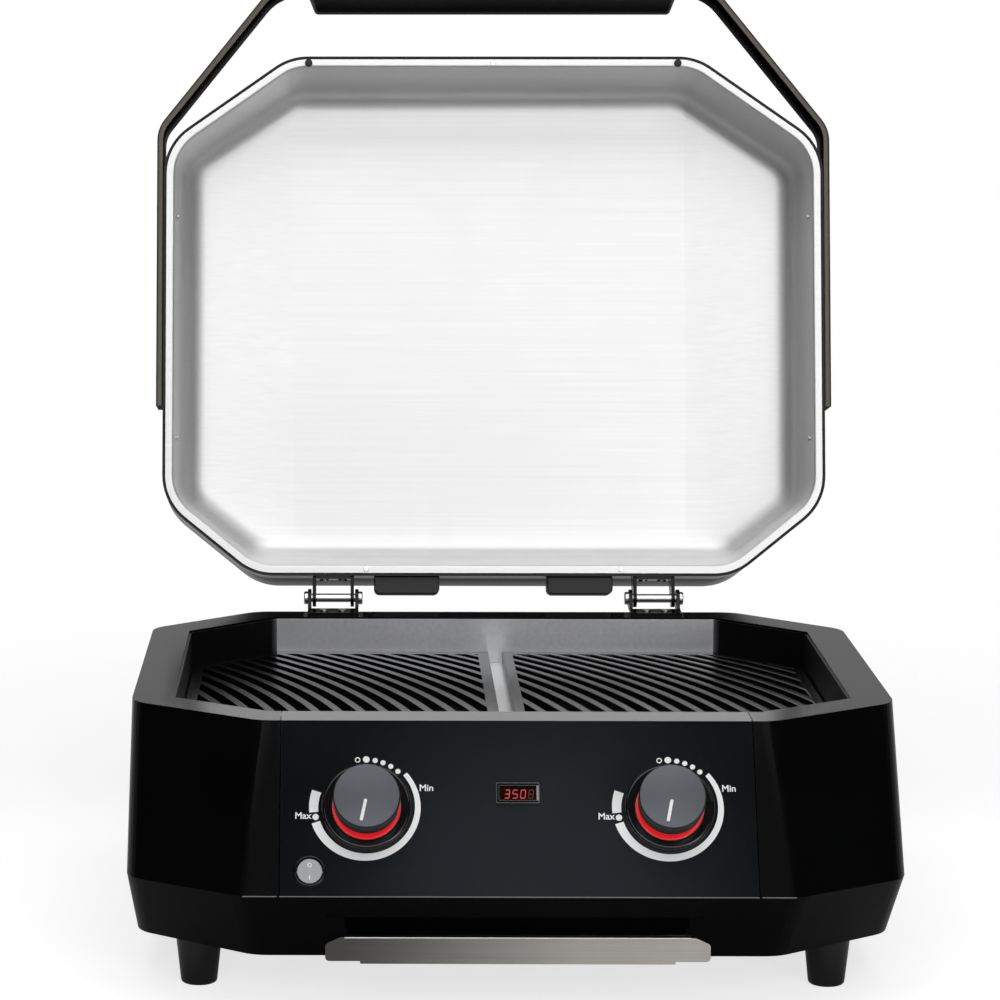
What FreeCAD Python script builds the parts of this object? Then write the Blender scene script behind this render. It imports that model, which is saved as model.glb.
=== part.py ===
import FreeCAD, Part
import math
import os
import types

import Sketcher
from FreeCAD import Vector

# Countertop electric grill with a hinged lid, in millimetres.
# X runs to the right, Y to the back and Z up from the floor that the feet stand on.
# Body pieces are drawn with Y measured from the rim's front edge.
# Lid pieces are drawn closed, from the hinge axis.
# Panel pieces are drawn flat, with Z out of the slanted front panel.

SIZES = {
    # Allowances
    "overrun": 2,
    "slip": 0.3,
    "running_fit": 0.05,
    "seam": 0.6,
    # Where the frame's origin lies, behind the rim's front edge
    "origin_setback": 302.59,
    # Body outline at the rim, at the widest line and at the bottom
    "sheet": 1.6,
    "rim_height": 210.5,
    "rim_width": 582,
    "rim_depth": 461,
    "rim_front_width": 382,
    "rim_back_width": 412,
    "rim_front_corner": 71,
    "rim_back_corner": 80,
    "girdle_height": 94,
    "girdle_width": 582,
    "girdle_front_reach": 70.6,
    "girdle_back_reach": 14,
    "girdle_front_width": 406,
    "girdle_back_width": 424,
    "girdle_front_corner": 59,
    "girdle_back_corner": 84,
    "base_height": 36.6,
    "base_width": 573,
    "base_front_reach": 22,
    "base_back_setin": 6,
    "base_front_width": 390,
    "base_back_width": 404,
    "base_front_corner": 70,
    "base_back_corner": 78,
    "body_corner": 30,
    # Rim band round the cooking opening
    "band_front": 34,
    "band_side": 31,
    "band_back": 26,
    # Front control panel
    "panel_width": 350,
    # Fire box
    "box_flange": 12,
    "ledge_drop": 42,
    "ledge_width": 12,
    "box_floor_height": 100,
    "drain_width": 150,
    "drain_depth": 220,
    # Cast grates and the bridge between them
    "grate_height": 12,
    "grate_play": 1.5,
    "grate_frame": 9,
    "grate_gap": 12,
    "bar_pitch": 18,
    "bar_width": 7,
    "bar_radius": 600,
    "bridge_thickness": 3,
    "bridge_seat": 8,
    # Heating elements and the plates that carry them
    "tube_radius": 4,
    "tube_height": 150,
    "tube_bend": 20,
    "tube_outlet": 24,
    "leg_inner": 38,
    "leg_return": 84,
    "leg_middle": 172,
    "leg_outer": 222,
    "loop_back_margin": 42,
    "loop_front_margin": 70,
    "loop_step": 48,
    "carrier_thickness": 2,
    "carrier_overhang": 12,
    "carrier_front": 120,
    "carrier_back": 140,
    # Drip tray and its rails
    "tray_sheet": 1.2,
    "tray_width": 252,
    "tray_depth": 330,
    "tray_wall": 14,
    "tray_lift": 3.4,
    "tray_slot_play": 2,
    "lip_reach": 30,
    "lip_width": 283.5,
    "lip_height": 18,
    "lip_corner_width": 11,
    "lip_corner_drop": 5,
    "lip_corner_round": 3,
    "lip_hem": 7,
    "lip_step": 2,
    "lip_step_width": 232,
    "rail_thickness": 1.6,
    "rail_leg": 10,
    "rail_height": 20,
    "rail_depth": 300,
    # Feet and their screws
    "foot_top_radius": 17.5,
    "foot_bottom_radius": 13.6,
    "foot_edge": 3,
    "foot_spread": 477,
    "foot_front": 36,
    "foot_back": 75,
    "foot_screw_radius": 2.5,
    "foot_screw_depth": 14,
    "screw_head_radius": 5,
    "screw_head_height": 2.4,
    # Hinges
    "hinge_behind": 15,
    "hinge_above": 9.5,
    "hinge_spread": 279,
    "lid_open": 102.5,
    "pin_radius": 3.75,
    "pin_head_radius": 5.6,
    "pin_head": 3.5,
    "cheek_gap": 30,
    "cheek_thickness": 3,
    "cheek_play": 1,
    "cheek_radius": 7.6,
    "hinge_plate": 2.5,
    "hinge_plate_height": 30,
    "hinge_foot_depth": 34,
    "hinge_screw_radius": 2,
    "hinge_screw_head": 4,
    "hinge_screw_head_height": 1.4,
    "hinge_screw_spread": 16,
    "hinge_screw_up": 21,
    "hinge_screw_in": 9,
    # Lid shell
    "lid_sheet": 2,
    "lid_gap": 4.5,
    "lid_to_hinge": 19,
    "lid_width": 578,
    "lid_depth": 457,
    "lid_front_width": 357,
    "lid_back_width": 419,
    "lid_front_corner": 78,
    "lid_back_corner": 64,
    "lid_corner_radius": 50,
    "lid_waist": 48,
    "lid_shoulder": 100,
    "lid_height": 112,
    "lid_bulge": 1.8,
    "lid_back_bulge": 5.5,
    "lid_roof_setin": 26,
    "lid_fold_width": 350,
    "lid_fold_drop": 20,
    # Lid liner
    "liner_sheet": 1.2,
    "liner_flange": 7,
    "liner_roof_height": 90,
    "liner_roof_setin": 16,
    "liner_fold_drop": 16,
    "lid_return": 6,
    "lid_screw_radius": 1.5,
    "lid_screw_head": 2.4,
    "lid_screw_head_height": 0.9,
    "lid_screw_length": 6,
    "lid_screw_up": 16,
    "lid_screw_side": 122,
    "lid_screw_side_spread": 195.5,
    "lid_screw_back_spread": 222,
    "bumper_radius": 3.2,
    "bumper_spread": 324,
    # Blocks on the lid's back wall
    "stop_inner": 47,
    "stop_width": 57,
    "stop_height": 30,
    "stop_reach": 15.5,
    "stop_low": 6,
    "stop_round": 5,
    # Strap handle and grip
    "strap_thickness": 6,
    "strap_width": 41,
    "strap_low": 3,
    "strap_start": 149,
    "strap_bend_at": 392.7,
    "strap_top_at": 525.4,
    "strap_top_width": 380.9,
    "strap_bend": 24,
    "strap_top_bend": 40,
    "strap_end": 5,
    "grip_radius": 23,
    "grip_length": 326,
    "grip_taper": 10.5,
    "grip_nose_radius": 8,
    "bolt_radius": 3,
    "bolt_head_radius": 7,
    "bolt_head_height": 0.8,
    "bolt_reach": 14,
    "bolt_first": 25,
    "bolt_spacing": 150,
    # Knobs, their bezels and light rings
    "knob_spread": 223,
    "knob_radius": 24.6,
    "knob_height": 29.5,
    "knob_edge": 1.6,
    "knob_low": 15.5,
    "knob_hub_radius": 16,
    "knob_hub_low": 5,
    "bezel_radius": 33,
    "bezel_height": 5.5,
    "bezel_round": 2,
    "glow_radius": 26,
    "glow_top_radius": 22.5,
    "glow_bore": 18,
    "glow_step": 3,
    "glow_height": 5,
    "shaft_radius": 3,
    "shaft_grip": 14,
    "bush_radius": 5,
    "regulator_size": 40,
    "regulator_depth": 26,
    "regulator_round": 4,
    "shaft_tail": 12,
    # Display
    "display_rise": 11.4,
    "display_width": 32,
    "display_height": 16,
    "display_border": 2.4,
    "display_proud": 1.2,
    "display_sink": 9,
    "window_recess": 0.6,
    "window_thickness": 1.6,
    "board_width": 52,
    "board_height": 26,
    "board_thickness": 1.6,
    # Rocker switch
    "switch_from_middle": 153,
    "switch_drop": 49,
    "switch_bezel_radius": 11.8,
    "switch_bezel_height": 2,
    "switch_body_radius": 10.7,
    "switch_body_depth": 20,
    "rocker_radius": 9,
    "rocker_play": 0.9,
    "rocker_proud": 1.4,
    "rocker_dish": 0.9,
    "rocker_well": 6,
    "rocker_axle": 1.2,
    "rocker_tilt": 6,
    # Mains inlet in the back wall
    "inlet_from_middle": 165,
    "inlet_up": 45,
    "inlet_flange_width": 50,
    "inlet_flange_height": 23,
    "inlet_flange": 2.5,
    "inlet_width": 27,
    "inlet_height": 20,
    "inlet_depth": 22,
    "inlet_wall": 2,
    "inlet_floor": 4,
    "inlet_round": 3,
    "inlet_pin_width": 2,
    "inlet_pin_height": 4,
    "inlet_pin_spacing": 7,
    "inlet_pin_length": 14,
}


class Size:
    """A number together with the spreadsheet formula that gives it."""

    def __init__(self, value, formula):
        self.value = value
        self.formula = formula

    def __add__(self, other):
        other = as_size(other)
        return Size(self.value + other.value, f"({self.formula} + {other.formula})")

    def __sub__(self, other):
        other = as_size(other)
        return Size(self.value - other.value, f"({self.formula} - {other.formula})")

    def __mul__(self, other):
        other = as_size(other)
        return Size(self.value * other.value, f"({self.formula} * {other.formula})")

    def __truediv__(self, other):
        other = as_size(other)
        return Size(self.value / other.value, f"({self.formula} / {other.formula})")

    def __radd__(self, other):
        return as_size(other) + self

    def __rsub__(self, other):
        return as_size(other) - self

    def __rmul__(self, other):
        return as_size(other) * self

    def __neg__(self):
        return Size(-self.value, f"(0 - {self.formula})")


def as_size(number):
    return number if isinstance(number, Size) else Size(number, repr(number))


def root(square):
    return Size(math.sqrt(square.value), f"sqrt({square.formula})")


def hypotenuse(first, second):
    return root(first * first + second * second)


def angle_of(rise, run):
    """Angle in degrees whose tangent is rise over run."""
    value = math.degrees(math.atan2(rise.value, run.value))
    return Size(value, f"(atan2({rise.formula}; {run.formula}) / 1 deg)")


doc = FreeCAD.newDocument("electric_grill")
sheet_object = doc.addObject("Spreadsheet::Sheet", "Sizes")
for row, (alias, number) in enumerate(SIZES.items(), start=1):
    sheet_object.set(f"A{row}", alias)
    sheet_object.set(f"B{row}", str(number))
    sheet_object.setAlias(f"B{row}", alias)
doc.recompute()
size = types.SimpleNamespace(**{alias: Size(number, f"Sizes.{alias}") for alias, number in SIZES.items()})

SIDES = {"left": -1, "right": 1}
pieces = []


# Drawing helpers


def bind(target, **properties):
    for name, length in properties.items():
        target.setExpression(name, as_size(length).formula)


def place(target, x=0, y=0, z=0, turn=0):
    """Bind a Placement: a turn about X, then a move."""
    x, y, z, turn = (as_size(number).formula for number in (x, y, z, turn))
    base = f"create(<<vector>>; {x}; {y}; {z})"
    rotation = f"create(<<rotation>>; create(<<vector>>; 1; 0; 0); {turn})"
    target.setExpression("Placement", f"create(<<placement>>; {base}; {rotation})")
    return target


def named(target, label, where=None, **position):
    """Give a finished sub-part its name and its place, and keep it for the hand-out."""
    target.Label = label
    if where is not None:
        where(target, **position)
    pieces.append(target)
    return target


def new_body(name):
    return doc.addObject("PartDesign::Body", name)


def new_sketch(body, plane="XY_Plane", offset=0):
    sketch = body.newObject("Sketcher::SketchObject", "Sketch")
    support = next(item for item in body.Origin.OriginFeatures if item.Role == plane)
    sketch.AttachmentSupport = [(support, "")]
    sketch.MapMode = "FlatFace"
    sketch.setExpression("AttachmentOffset.Base.z", as_size(offset).formula)
    return sketch


def constrain(sketch, kind, *where, length=None):
    if length is None:
        sketch.addConstraint(Sketcher.Constraint(kind, *where))
        return
    length = as_size(length)
    index = sketch.addConstraint(Sketcher.Constraint(kind, *where, length.value))
    sketch.setExpression(f"Constraints[{index}]", length.formula)


def fix_point(sketch, geometry, end, point):
    constrain(sketch, "DistanceX", geometry, end, length=point[0])
    constrain(sketch, "DistanceY", geometry, end, length=point[1])


def flat(point):
    return Vector(as_size(point[0]).value, as_size(point[1]).value, 0)


def corner_arc(before, corner, after, radius):
    """Where a round of this radius leaves and meets the two sides of a corner, and its middle point."""
    to_before = (before - corner).normalize()
    to_after = (after - corner).normalize()
    half = to_before.getAngle(to_after) / 2
    middle = (to_before + to_after).normalize()
    centre = corner + middle * (radius / math.sin(half))
    run = radius / math.tan(half)
    return corner + to_before * run, centre - middle * radius, corner + to_after * run


def draw(sketch, points, radii=0, closed=True):
    """Draw a run of lines through points, with a round at each corner whose radius isn't 0."""
    count = len(points)
    radii = radii if isinstance(radii, (list, tuple)) else [radii] * count
    radii = [as_size(radius) for radius in radii]
    spots = [flat(point) for point in points]
    rounded = [radius.value > 0 and (closed or 0 < i < count - 1) for i, radius in enumerate(radii)]
    arcs = []
    for i in range(count):
        around = (spots[i - 1], spots[i], spots[(i + 1) % count])
        arcs.append(corner_arc(*around, radii[i].value) if rounded[i] else (spots[i],) * 3)
    last = count if closed else count - 1
    lines = []
    for i in range(last):
        segment = Part.LineSegment(arcs[i][2], arcs[(i + 1) % count][0])
        lines.append(sketch.addGeometry(segment, False))
    for i in range(count):
        before = lines[i - 1] if closed or i > 0 else None
        after = lines[i] if i < last else None
        if rounded[i]:
            arc = sketch.addGeometry(Part.Arc(*arcs[i]), False)
            vertex = sketch.addGeometry(Part.Point(spots[i]), True)
            ends = [sketch.getPoint(arc, end).distanceToPoint(arcs[i][0]) for end in (1, 2)]
            first = 1 if ends[0] < ends[1] else 2
            constrain(sketch, "Tangent", before, 2, arc, first)
            constrain(sketch, "Tangent", arc, 3 - first, after, 1)
            constrain(sketch, "PointOnObject", vertex, 1, before)
            constrain(sketch, "PointOnObject", vertex, 1, after)
            constrain(sketch, "Radius", arc, length=radii[i])
            fix_point(sketch, vertex, 1, points[i])
            continue
        if before is not None and after is not None:
            constrain(sketch, "Coincident", before, 2, after, 1)
        if after is not None:
            fix_point(sketch, after, 1, points[i])
        else:
            fix_point(sketch, before, 2, points[i])
    return sketch


def draw_circle(sketch, x, y, radius):
    centre = flat((x, y))
    circle = sketch.addGeometry(Part.Circle(centre, Vector(0, 0, 1), as_size(radius).value), False)
    constrain(sketch, "Radius", circle, length=radius)
    fix_point(sketch, circle, 3, (x, y))
    return sketch


def both_sides(right_half):
    """Outline from its right half, given from front to back."""
    return right_half + [(-x, y) for x, y in reversed(right_half)]


def rectangle(low_x, low_y, high_x, high_y):
    return [(low_x, low_y), (high_x, low_y), (high_x, high_y), (low_x, high_y)]


def pad(body, sketch, length, both_ways=False):
    feature = body.newObject("PartDesign::Pad", "Pad")
    feature.Profile = sketch
    bind(feature, Length=length)
    if both_ways:
        feature.SideType = "Symmetric"
    return feature


def pocket(body, sketch, length, both_ways=False, forwards=False):
    """Cut against the sketch's normal, or along it where forwards is set."""
    feature = body.newObject("PartDesign::Pocket", "Pocket")
    feature.Profile = sketch
    bind(feature, Length=length)
    feature.Reversed = forwards
    if both_ways:
        feature.SideType = "Symmetric"
    return feature


def loft(body, sketches, kind="AdditiveLoft"):
    feature = body.newObject(f"PartDesign::{kind}", "Loft")
    feature.Profile = sketches[0]
    feature.Sections = sketches[1:]
    feature.Ruled = True
    return feature


def spin(body, points, radii=0, kind="Revolution"):
    """Turn a profile of (radius, height) points once round the body's Z axis."""
    sketch = draw(new_sketch(body, "XZ_Plane"), points, radii)
    feature = body.newObject(f"PartDesign::{kind}", "Turned")
    feature.Profile = sketch
    feature.ReferenceAxis = (sketch, ["V_Axis"])
    return feature


def block(name, length, width, height, x, y, z):
    """Box with its low corner at x, y, z."""
    box = doc.addObject("Part::Box", name)
    bind(box, Length=length, Width=width, Height=height)
    return place(box, x, y, z)


def rod(name, radius, height, x, y, z, turn=0):
    cylinder = doc.addObject("Part::Cylinder", name)
    bind(cylinder, Radius=radius, Height=height)
    return place(cylinder, x, y, z, turn)


def cross_rod(name, radius, length, x, y, z):
    """Cylinder along X that starts at x."""
    cylinder = doc.addObject("Part::Cylinder", name)
    bind(cylinder, Radius=radius, Height=length)
    x, y, z = (as_size(number).formula for number in (x, y, z))
    base = f"create(<<vector>>; {x}; {y}; {z})"
    rotation = "create(<<rotation>>; create(<<vector>>; 0; 1; 0); 90)"
    cylinder.setExpression("Placement", f"create(<<placement>>; {base}; {rotation})")
    return cylinder


def cut(name, base, *tools):
    """Take tools away from base."""
    tool = tools[0] if len(tools) == 1 else group(f"{name}_tools", tools)
    feature = doc.addObject("Part::Cut", name)
    feature.Base = base
    feature.Tool = tool
    return feature


def fuse(name, *shapes):
    feature = doc.addObject("Part::MultiFuse", name)
    feature.Shapes = list(shapes)
    feature.Refine = True
    return feature


def common(name, base, tool):
    feature = doc.addObject("Part::Common", name)
    feature.Base = base
    feature.Tool = tool
    return feature


def group(name, shapes):
    feature = doc.addObject("Part::Compound", name)
    feature.Links = list(shapes)
    return feature


class Octagon:
    """Eight-sided outline with straight front, back and sides and slanted corners, even about X = 0."""

    def __init__(self, half_width, front, back, front_half, back_half, front_corner, back_corner):
        self.half_width = half_width
        self.front = front
        self.back = back
        self.front_half = front_half
        self.back_half = back_half
        self.front_corner = front_corner
        self.back_corner = back_corner

    def right_half(self):
        return [
            (self.front_half, self.front),
            (self.half_width, self.front + self.front_corner),
            (self.half_width, self.back - self.back_corner),
            (self.back_half, self.back),
        ]

    def points(self):
        return both_sides(self.right_half())

    def inset(self, side, front=None, back=None):
        """The outline moved in by side all round, or by front and back at those two edges."""
        front = side if front is None else front
        back = side if back is None else back
        front_half, front_corner = self.moved_corner(self.front_half, self.front_corner, side, front)
        back_half, back_corner = self.moved_corner(self.back_half, self.back_corner, side, back)
        return Octagon(
            self.half_width - side, self.front + front, self.back - back,
            front_half, back_half, front_corner, back_corner,
        )

    def towards(self, other, share):
        """The outline a share of the way to another one."""
        fields = {name: value + (getattr(other, name) - value) * share for name, value in vars(self).items()}
        return Octagon(**fields)

    def moved_corner(self, end_half, corner, side, end):
        across = self.half_width - end_half
        slant = hypotenuse(across, corner)
        new_half = end_half - (side * slant - end * across) / corner
        new_corner = (side * slant + (across - side) * corner) / across - end
        return new_half, new_corner


rim = Octagon(
    size.rim_width / 2, as_size(0), size.rim_depth, size.rim_front_width / 2, size.rim_back_width / 2,
    size.rim_front_corner, size.rim_back_corner,
)
girdle = Octagon(
    size.girdle_width / 2, -size.girdle_front_reach, size.rim_depth + size.girdle_back_reach,
    size.girdle_front_width / 2, size.girdle_back_width / 2,
    size.girdle_front_corner, size.girdle_back_corner,
)
base = Octagon(
    size.base_width / 2, -size.base_front_reach, size.rim_depth - size.base_back_setin,
    size.base_front_width / 2, size.base_back_width / 2, size.base_front_corner, size.base_back_corner,
)
opening = rim.inset(size.band_side, size.band_front, size.band_back)
box_outside = opening.inset(size.slip)
box_inside = box_outside.inset(size.sheet)
lid_back = -size.lid_to_hinge
lid_rim = Octagon(
    size.lid_width / 2, lid_back - size.lid_depth, lid_back,
    size.lid_front_width / 2, size.lid_back_width / 2,
    size.lid_front_corner, size.lid_back_corner,
)

# Slanted front panel: its rise and run, its length along the slant and its turn from lying flat
panel_rise = size.rim_height - size.girdle_height
panel_run = size.girdle_front_reach
panel_slant = hypotenuse(panel_rise, panel_run)
panel_turn = angle_of(panel_rise, panel_run)
panel_sheet = size.sheet * panel_rise / panel_slant
back_rise = panel_rise
back_run = size.girdle_back_reach
back_slant = hypotenuse(back_rise, back_run)
back_turn = -angle_of(back_rise, back_run)

hinge_y = size.rim_depth + size.hinge_behind
hinge_z = size.rim_height + size.hinge_above
# Height of the lid's rim face above the hinge axis, lid closed
lid_low = size.lid_gap - size.hinge_above
ledge_height = size.rim_height - size.ledge_drop
box_top = size.rim_height - size.sheet
pan_floor = size.base_height + size.sheet


def at_body(target):
    return place(target, y=-size.origin_setback)


def at_lid(target):
    """Lid pieces stand open, turned back about the hinge axis."""
    return place(target, y=hinge_y - size.origin_setback, z=hinge_z, turn=-size.lid_open)


def at_panel(target, x=0, up=0, out=0, tilt=0, setback=size.origin_setback):
    """Stand a piece on the slanted panel: up the slant from its middle, out from its face, and tilted."""
    share = as_size(up) / panel_slant + as_size(1) / 2
    out_share = as_size(out) / panel_slant
    y = panel_run * (share - 1) - panel_rise * out_share - setback
    z = size.girdle_height + panel_rise * share + panel_run * out_share
    return place(target, x=x, y=y, z=z, turn=panel_turn + tilt)


def at_back(target, x=0, up=0, setback=size.origin_setback):
    """Stand a piece on the back wall, up along its slant from the widest line."""
    share = up / back_slant
    y = size.rim_depth + back_run * (1 - share) - setback
    return place(target, x=x, y=y, z=size.girdle_height + back_rise * share, turn=back_turn)


# Body shell and front panel


def body_sketch(body, outline, height, setin=0):
    """Body outline with rounded folds, moved in by setin."""
    corner = size.body_corner - setin
    return draw(new_sketch(body, offset=height), outline.inset(as_size(setin)).points(), corner)


def shell_blank():
    """Upper wall from the rim to the widest line, with the rim band left round the opening."""
    body = new_body("ShellBlank")
    loft(body, [body_sketch(body, rim, size.rim_height), body_sketch(body, girdle, size.girdle_height)])
    below_rim = rim.towards(girdle, size.sheet / panel_rise)
    inner_top = body_sketch(body, below_rim, box_top, size.sheet)
    inner_low = body_sketch(body, girdle, size.girdle_height, size.sheet)
    loft(body, [inner_top, inner_low], "SubtractiveLoft")
    mouth = draw(new_sketch(body, offset=size.rim_height), opening.points())
    pocket(body, mouth, size.sheet + size.overrun)
    return body


def panel_zone(name, half_width):
    """Everything in front of the opening between the two seams."""
    front = -size.girdle_front_reach - size.overrun
    depth = size.band_front + size.overrun - front
    low = size.girdle_height - size.overrun
    return block(name, half_width * 2, depth, size.rim_height - low + size.overrun, -half_width, front, low)


def panel_hole(name, radius, x, up=0):
    """Round cutter square to the panel."""
    cutter = rod(f"{name}Cutter", radius, size.sheet * 4, 0, 0, -size.sheet * 2)
    return at_panel(group(name, [cutter]), x, up, setback=0)


def make_shell_and_panel():
    blank = shell_blank()
    wide = panel_zone("PanelGap", size.panel_width / 2 + size.seam)
    narrow = panel_zone("PanelZone", size.panel_width / 2)
    inlet_cutter = block(
        "InletCutter", size.inlet_width + size.slip * 2, size.inlet_height + size.slip * 2, size.sheet * 4,
        -size.inlet_width / 2 - size.slip, -size.inlet_height / 2 - size.slip, -size.sheet * 2,
    )
    inlet_hole = at_back(group("InletHole", [inlet_cutter]), size.inlet_from_middle, size.inlet_up, setback=0)
    tools = [wide, inlet_hole]
    for side, sign in SIDES.items():
        for place_name, sign_across in (("Inner", -1), ("Outer", 1)):
            x = sign * size.hinge_spread / 2 + sign_across * size.hinge_screw_spread / 2
            y = size.rim_depth - size.hinge_screw_in
            hole = rod(
                f"{side}{place_name}HingeHole", size.hinge_screw_radius + size.slip, size.sheet * 4,
                x, y, size.rim_height - size.sheet * 2,
            )
            tools.append(hole)
    named(cut("BodyShell", blank, *tools), "body_shell", at_body)
    holes = [
        panel_hole(f"{side}KnobHole", size.bush_radius + size.slip, sign * size.knob_spread / 2)
        for side, sign in SIDES.items()
    ]
    holes.append(panel_hole("SwitchHole", size.switch_body_radius + size.slip, -size.switch_from_middle,
                            -size.switch_drop))
    display_cutter = block(
        "DisplayCutter", size.display_width - size.display_border + size.slip * 2,
        size.display_height - size.display_border + size.slip * 2, size.sheet * 4,
        -(size.display_width - size.display_border) / 2 - size.slip,
        -(size.display_height - size.display_border) / 2 - size.slip, -size.sheet * 2,
    )
    holes.append(at_panel(group("DisplayHole", [display_cutter]), 0, size.display_rise, setback=0))
    named(cut("FrontPanel", common("PanelBlank", blank, narrow), *holes), "front_panel", at_body)


# Belly with the feet, the tray rails and the drip tray


def foot_places():
    """Name, x and y of each foot."""
    for end, y in (("front", size.foot_front), ("back", size.rim_depth - size.foot_back)):
        for side, sign in SIDES.items():
            yield f"{end}_{side}", sign * size.foot_spread / 2, y


tray_bottom = pan_floor + size.tray_lift
tray_front = -size.base_front_reach
lip_front = tray_front - size.lip_reach


def make_base_pan():
    body = new_body("BasePan")
    loft(body, [body_sketch(body, girdle, size.girdle_height), body_sketch(body, base, size.base_height)])
    inner_top = body_sketch(body, girdle, size.girdle_height, size.sheet)
    inner_low = body_sketch(body, base, pan_floor, size.sheet)
    loft(body, [inner_top, inner_low], "SubtractiveLoft")
    half = size.tray_width / 2 + size.tray_slot_play
    slot_low = tray_bottom - size.tray_slot_play
    slot_high = tray_bottom + size.tray_wall + size.tray_slot_play
    slot = draw(new_sketch(body, "XZ_Plane"), rectangle(-half, slot_low, half, slot_high))
    pocket(body, slot, size.girdle_front_reach + size.overrun, forwards=True)
    holes = new_sketch(body, offset=pan_floor)
    for _, x, y in foot_places():
        draw_circle(holes, x, y, size.foot_screw_radius + size.slip)
    pocket(body, holes, size.sheet + size.overrun)
    named(body, "base_pan", at_body)


def make_feet():
    screws = []
    for name, x, y in foot_places():
        body = new_body(f"{name}_foot")
        spin(
            body,
            [(0, 0), (size.foot_bottom_radius, 0), (size.foot_top_radius, size.base_height),
             (0, size.base_height)],
            [0, size.foot_edge, 0, 0],
        )
        bore = new_sketch(body, offset=size.base_height)
        draw_circle(bore, 0, 0, size.foot_screw_radius + size.slip)
        pocket(body, bore, size.foot_screw_depth)
        named(body, f"{name}_foot")
        place(body, x=x, y=y - size.origin_setback)
        screw = new_body(f"{name}_screw")
        shank_low = size.base_height - size.foot_screw_depth + size.slip
        spin(
            screw,
            [(0, shank_low), (size.foot_screw_radius, shank_low), (size.foot_screw_radius, pan_floor),
             (size.screw_head_radius, pan_floor),
             (size.screw_head_radius, pan_floor + size.screw_head_height),
             (0, pan_floor + size.screw_head_height)],
            [0, 0, 0, 0, size.screw_head_height / 2, 0],
        )
        screws.append(place(screw, x=x, y=y - size.origin_setback))
    named(group("FootScrews", screws), "foot_screws")


def make_tray():
    """Open pan whose floor runs out through the slot to a folded pull lip."""
    body = new_body("DripTray")
    half = size.tray_width / 2
    back = tray_front + size.tray_depth
    floor = draw(new_sketch(body, offset=tray_bottom), rectangle(-half, tray_front, half, back))
    pad(body, floor, size.tray_wall)
    sheet = size.tray_sheet
    inside = draw(
        new_sketch(body, offset=tray_bottom + size.tray_wall),
        rectangle(sheet - half, tray_front + sheet, half - sheet, back - sheet),
    )
    pocket(body, inside, size.tray_wall - sheet)
    tongue = draw(new_sketch(body, offset=tray_bottom), rectangle(-half, lip_front, half, tray_front + sheet))
    pad(body, tongue, sheet)
    low = tray_bottom + sheet - size.lip_step
    top = low + size.lip_height
    half_lip = size.lip_width / 2
    half_step = size.lip_step_width / 2
    hem_half = half_lip - size.lip_corner_width
    face = [(half_step, low - size.lip_step), (half_step, low), (half_lip, low),
            (half_lip, top - size.lip_corner_drop), (hem_half, top)]
    rounds = [0, 0, size.lip_corner_round, size.lip_corner_round, size.lip_corner_round]
    plate = draw(new_sketch(body, "XZ_Plane", -lip_front), both_sides(face), rounds + rounds[::-1])
    pad(body, plate, sheet)
    hem_half = hem_half - size.lip_corner_round
    hem = draw(new_sketch(body, offset=top - sheet),
               rectangle(-hem_half, lip_front - sheet, hem_half, lip_front + size.lip_hem))
    pad(body, hem, sheet)
    named(body, "drip_tray", at_body)


def make_rails():
    for side, sign in SIDES.items():
        body = new_body(f"{side}TrayRail")
        inner = sign * (size.tray_width / 2 - size.rail_leg)
        web = sign * (size.tray_width / 2 + size.slip)
        outer = sign * (size.tray_width / 2 + size.slip + size.rail_thickness)
        top = tray_bottom - size.slip
        profile = [
            (outer, pan_floor), (outer, pan_floor + size.rail_height), (web, pan_floor + size.rail_height),
            (web, top), (inner, top), (inner, top - size.rail_thickness), (web, top - size.rail_thickness),
            (web, pan_floor),
        ]
        start = tray_front + size.tray_slot_play * 3
        sketch = draw(new_sketch(body, "XZ_Plane", -start - size.rail_depth), profile)
        pad(body, sketch, size.rail_depth)
        named(body, f"{side}_tray_rail", at_body)


# Fire box, grates and heating


def make_fire_box():
    """Stepped tub that hangs by its flange under the rim band; the grates sit on its ledge."""
    body = new_body("FireBox")
    flange = draw(new_sketch(body, offset=box_top - size.sheet), box_outside.inset(-size.box_flange).points())
    pad(body, flange, size.sheet)
    upper = draw(new_sketch(body, offset=ledge_height - size.sheet), box_outside.points())
    pad(body, upper, box_top - ledge_height + size.sheet)
    lower = draw(new_sketch(body, offset=size.box_floor_height), box_outside.inset(size.ledge_width).points())
    pad(body, lower, ledge_height - size.box_floor_height)
    upper_inside = draw(new_sketch(body, offset=box_top), box_inside.points())
    pocket(body, upper_inside, box_top - ledge_height)
    lower_inside = draw(new_sketch(body, offset=ledge_height), box_inside.inset(size.ledge_width).points())
    pocket(body, lower_inside, ledge_height - size.box_floor_height - size.sheet)
    middle = (opening.front + opening.back) / 2
    drain = draw(
        new_sketch(body, offset=size.box_floor_height + size.sheet),
        rectangle(-size.drain_width / 2, middle - size.drain_depth / 2,
                  size.drain_width / 2, middle + size.drain_depth / 2),
        size.ledge_width,
    )
    pocket(body, drain, size.sheet + size.overrun)
    holes = new_sketch(body, "XZ_Plane", -opening.front - size.ledge_width * 2)
    for sign in SIDES.values():
        for leg in (size.leg_inner, size.leg_return):
            draw_circle(holes, sign * leg, size.tube_height, size.tube_radius + size.slip)
    pocket(body, holes, size.ledge_width * 2, forwards=True)
    named(body, "fire_box", at_body)


grate_outside = box_inside.inset(size.grate_play)
grate_inside = grate_outside.inset(size.grate_frame)


def grate_half(name, outline, inner, sign, low, height):
    """One half of an outline, from inner out to its side, as a plate."""
    body = new_body(name)
    half = [(sign * x, y) for x, y in outline.right_half()]
    points = [(sign * inner, outline.front)] + half + [(sign * inner, outline.back)]
    pad(body, draw(new_sketch(body, offset=low), points), height)
    return body


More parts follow.
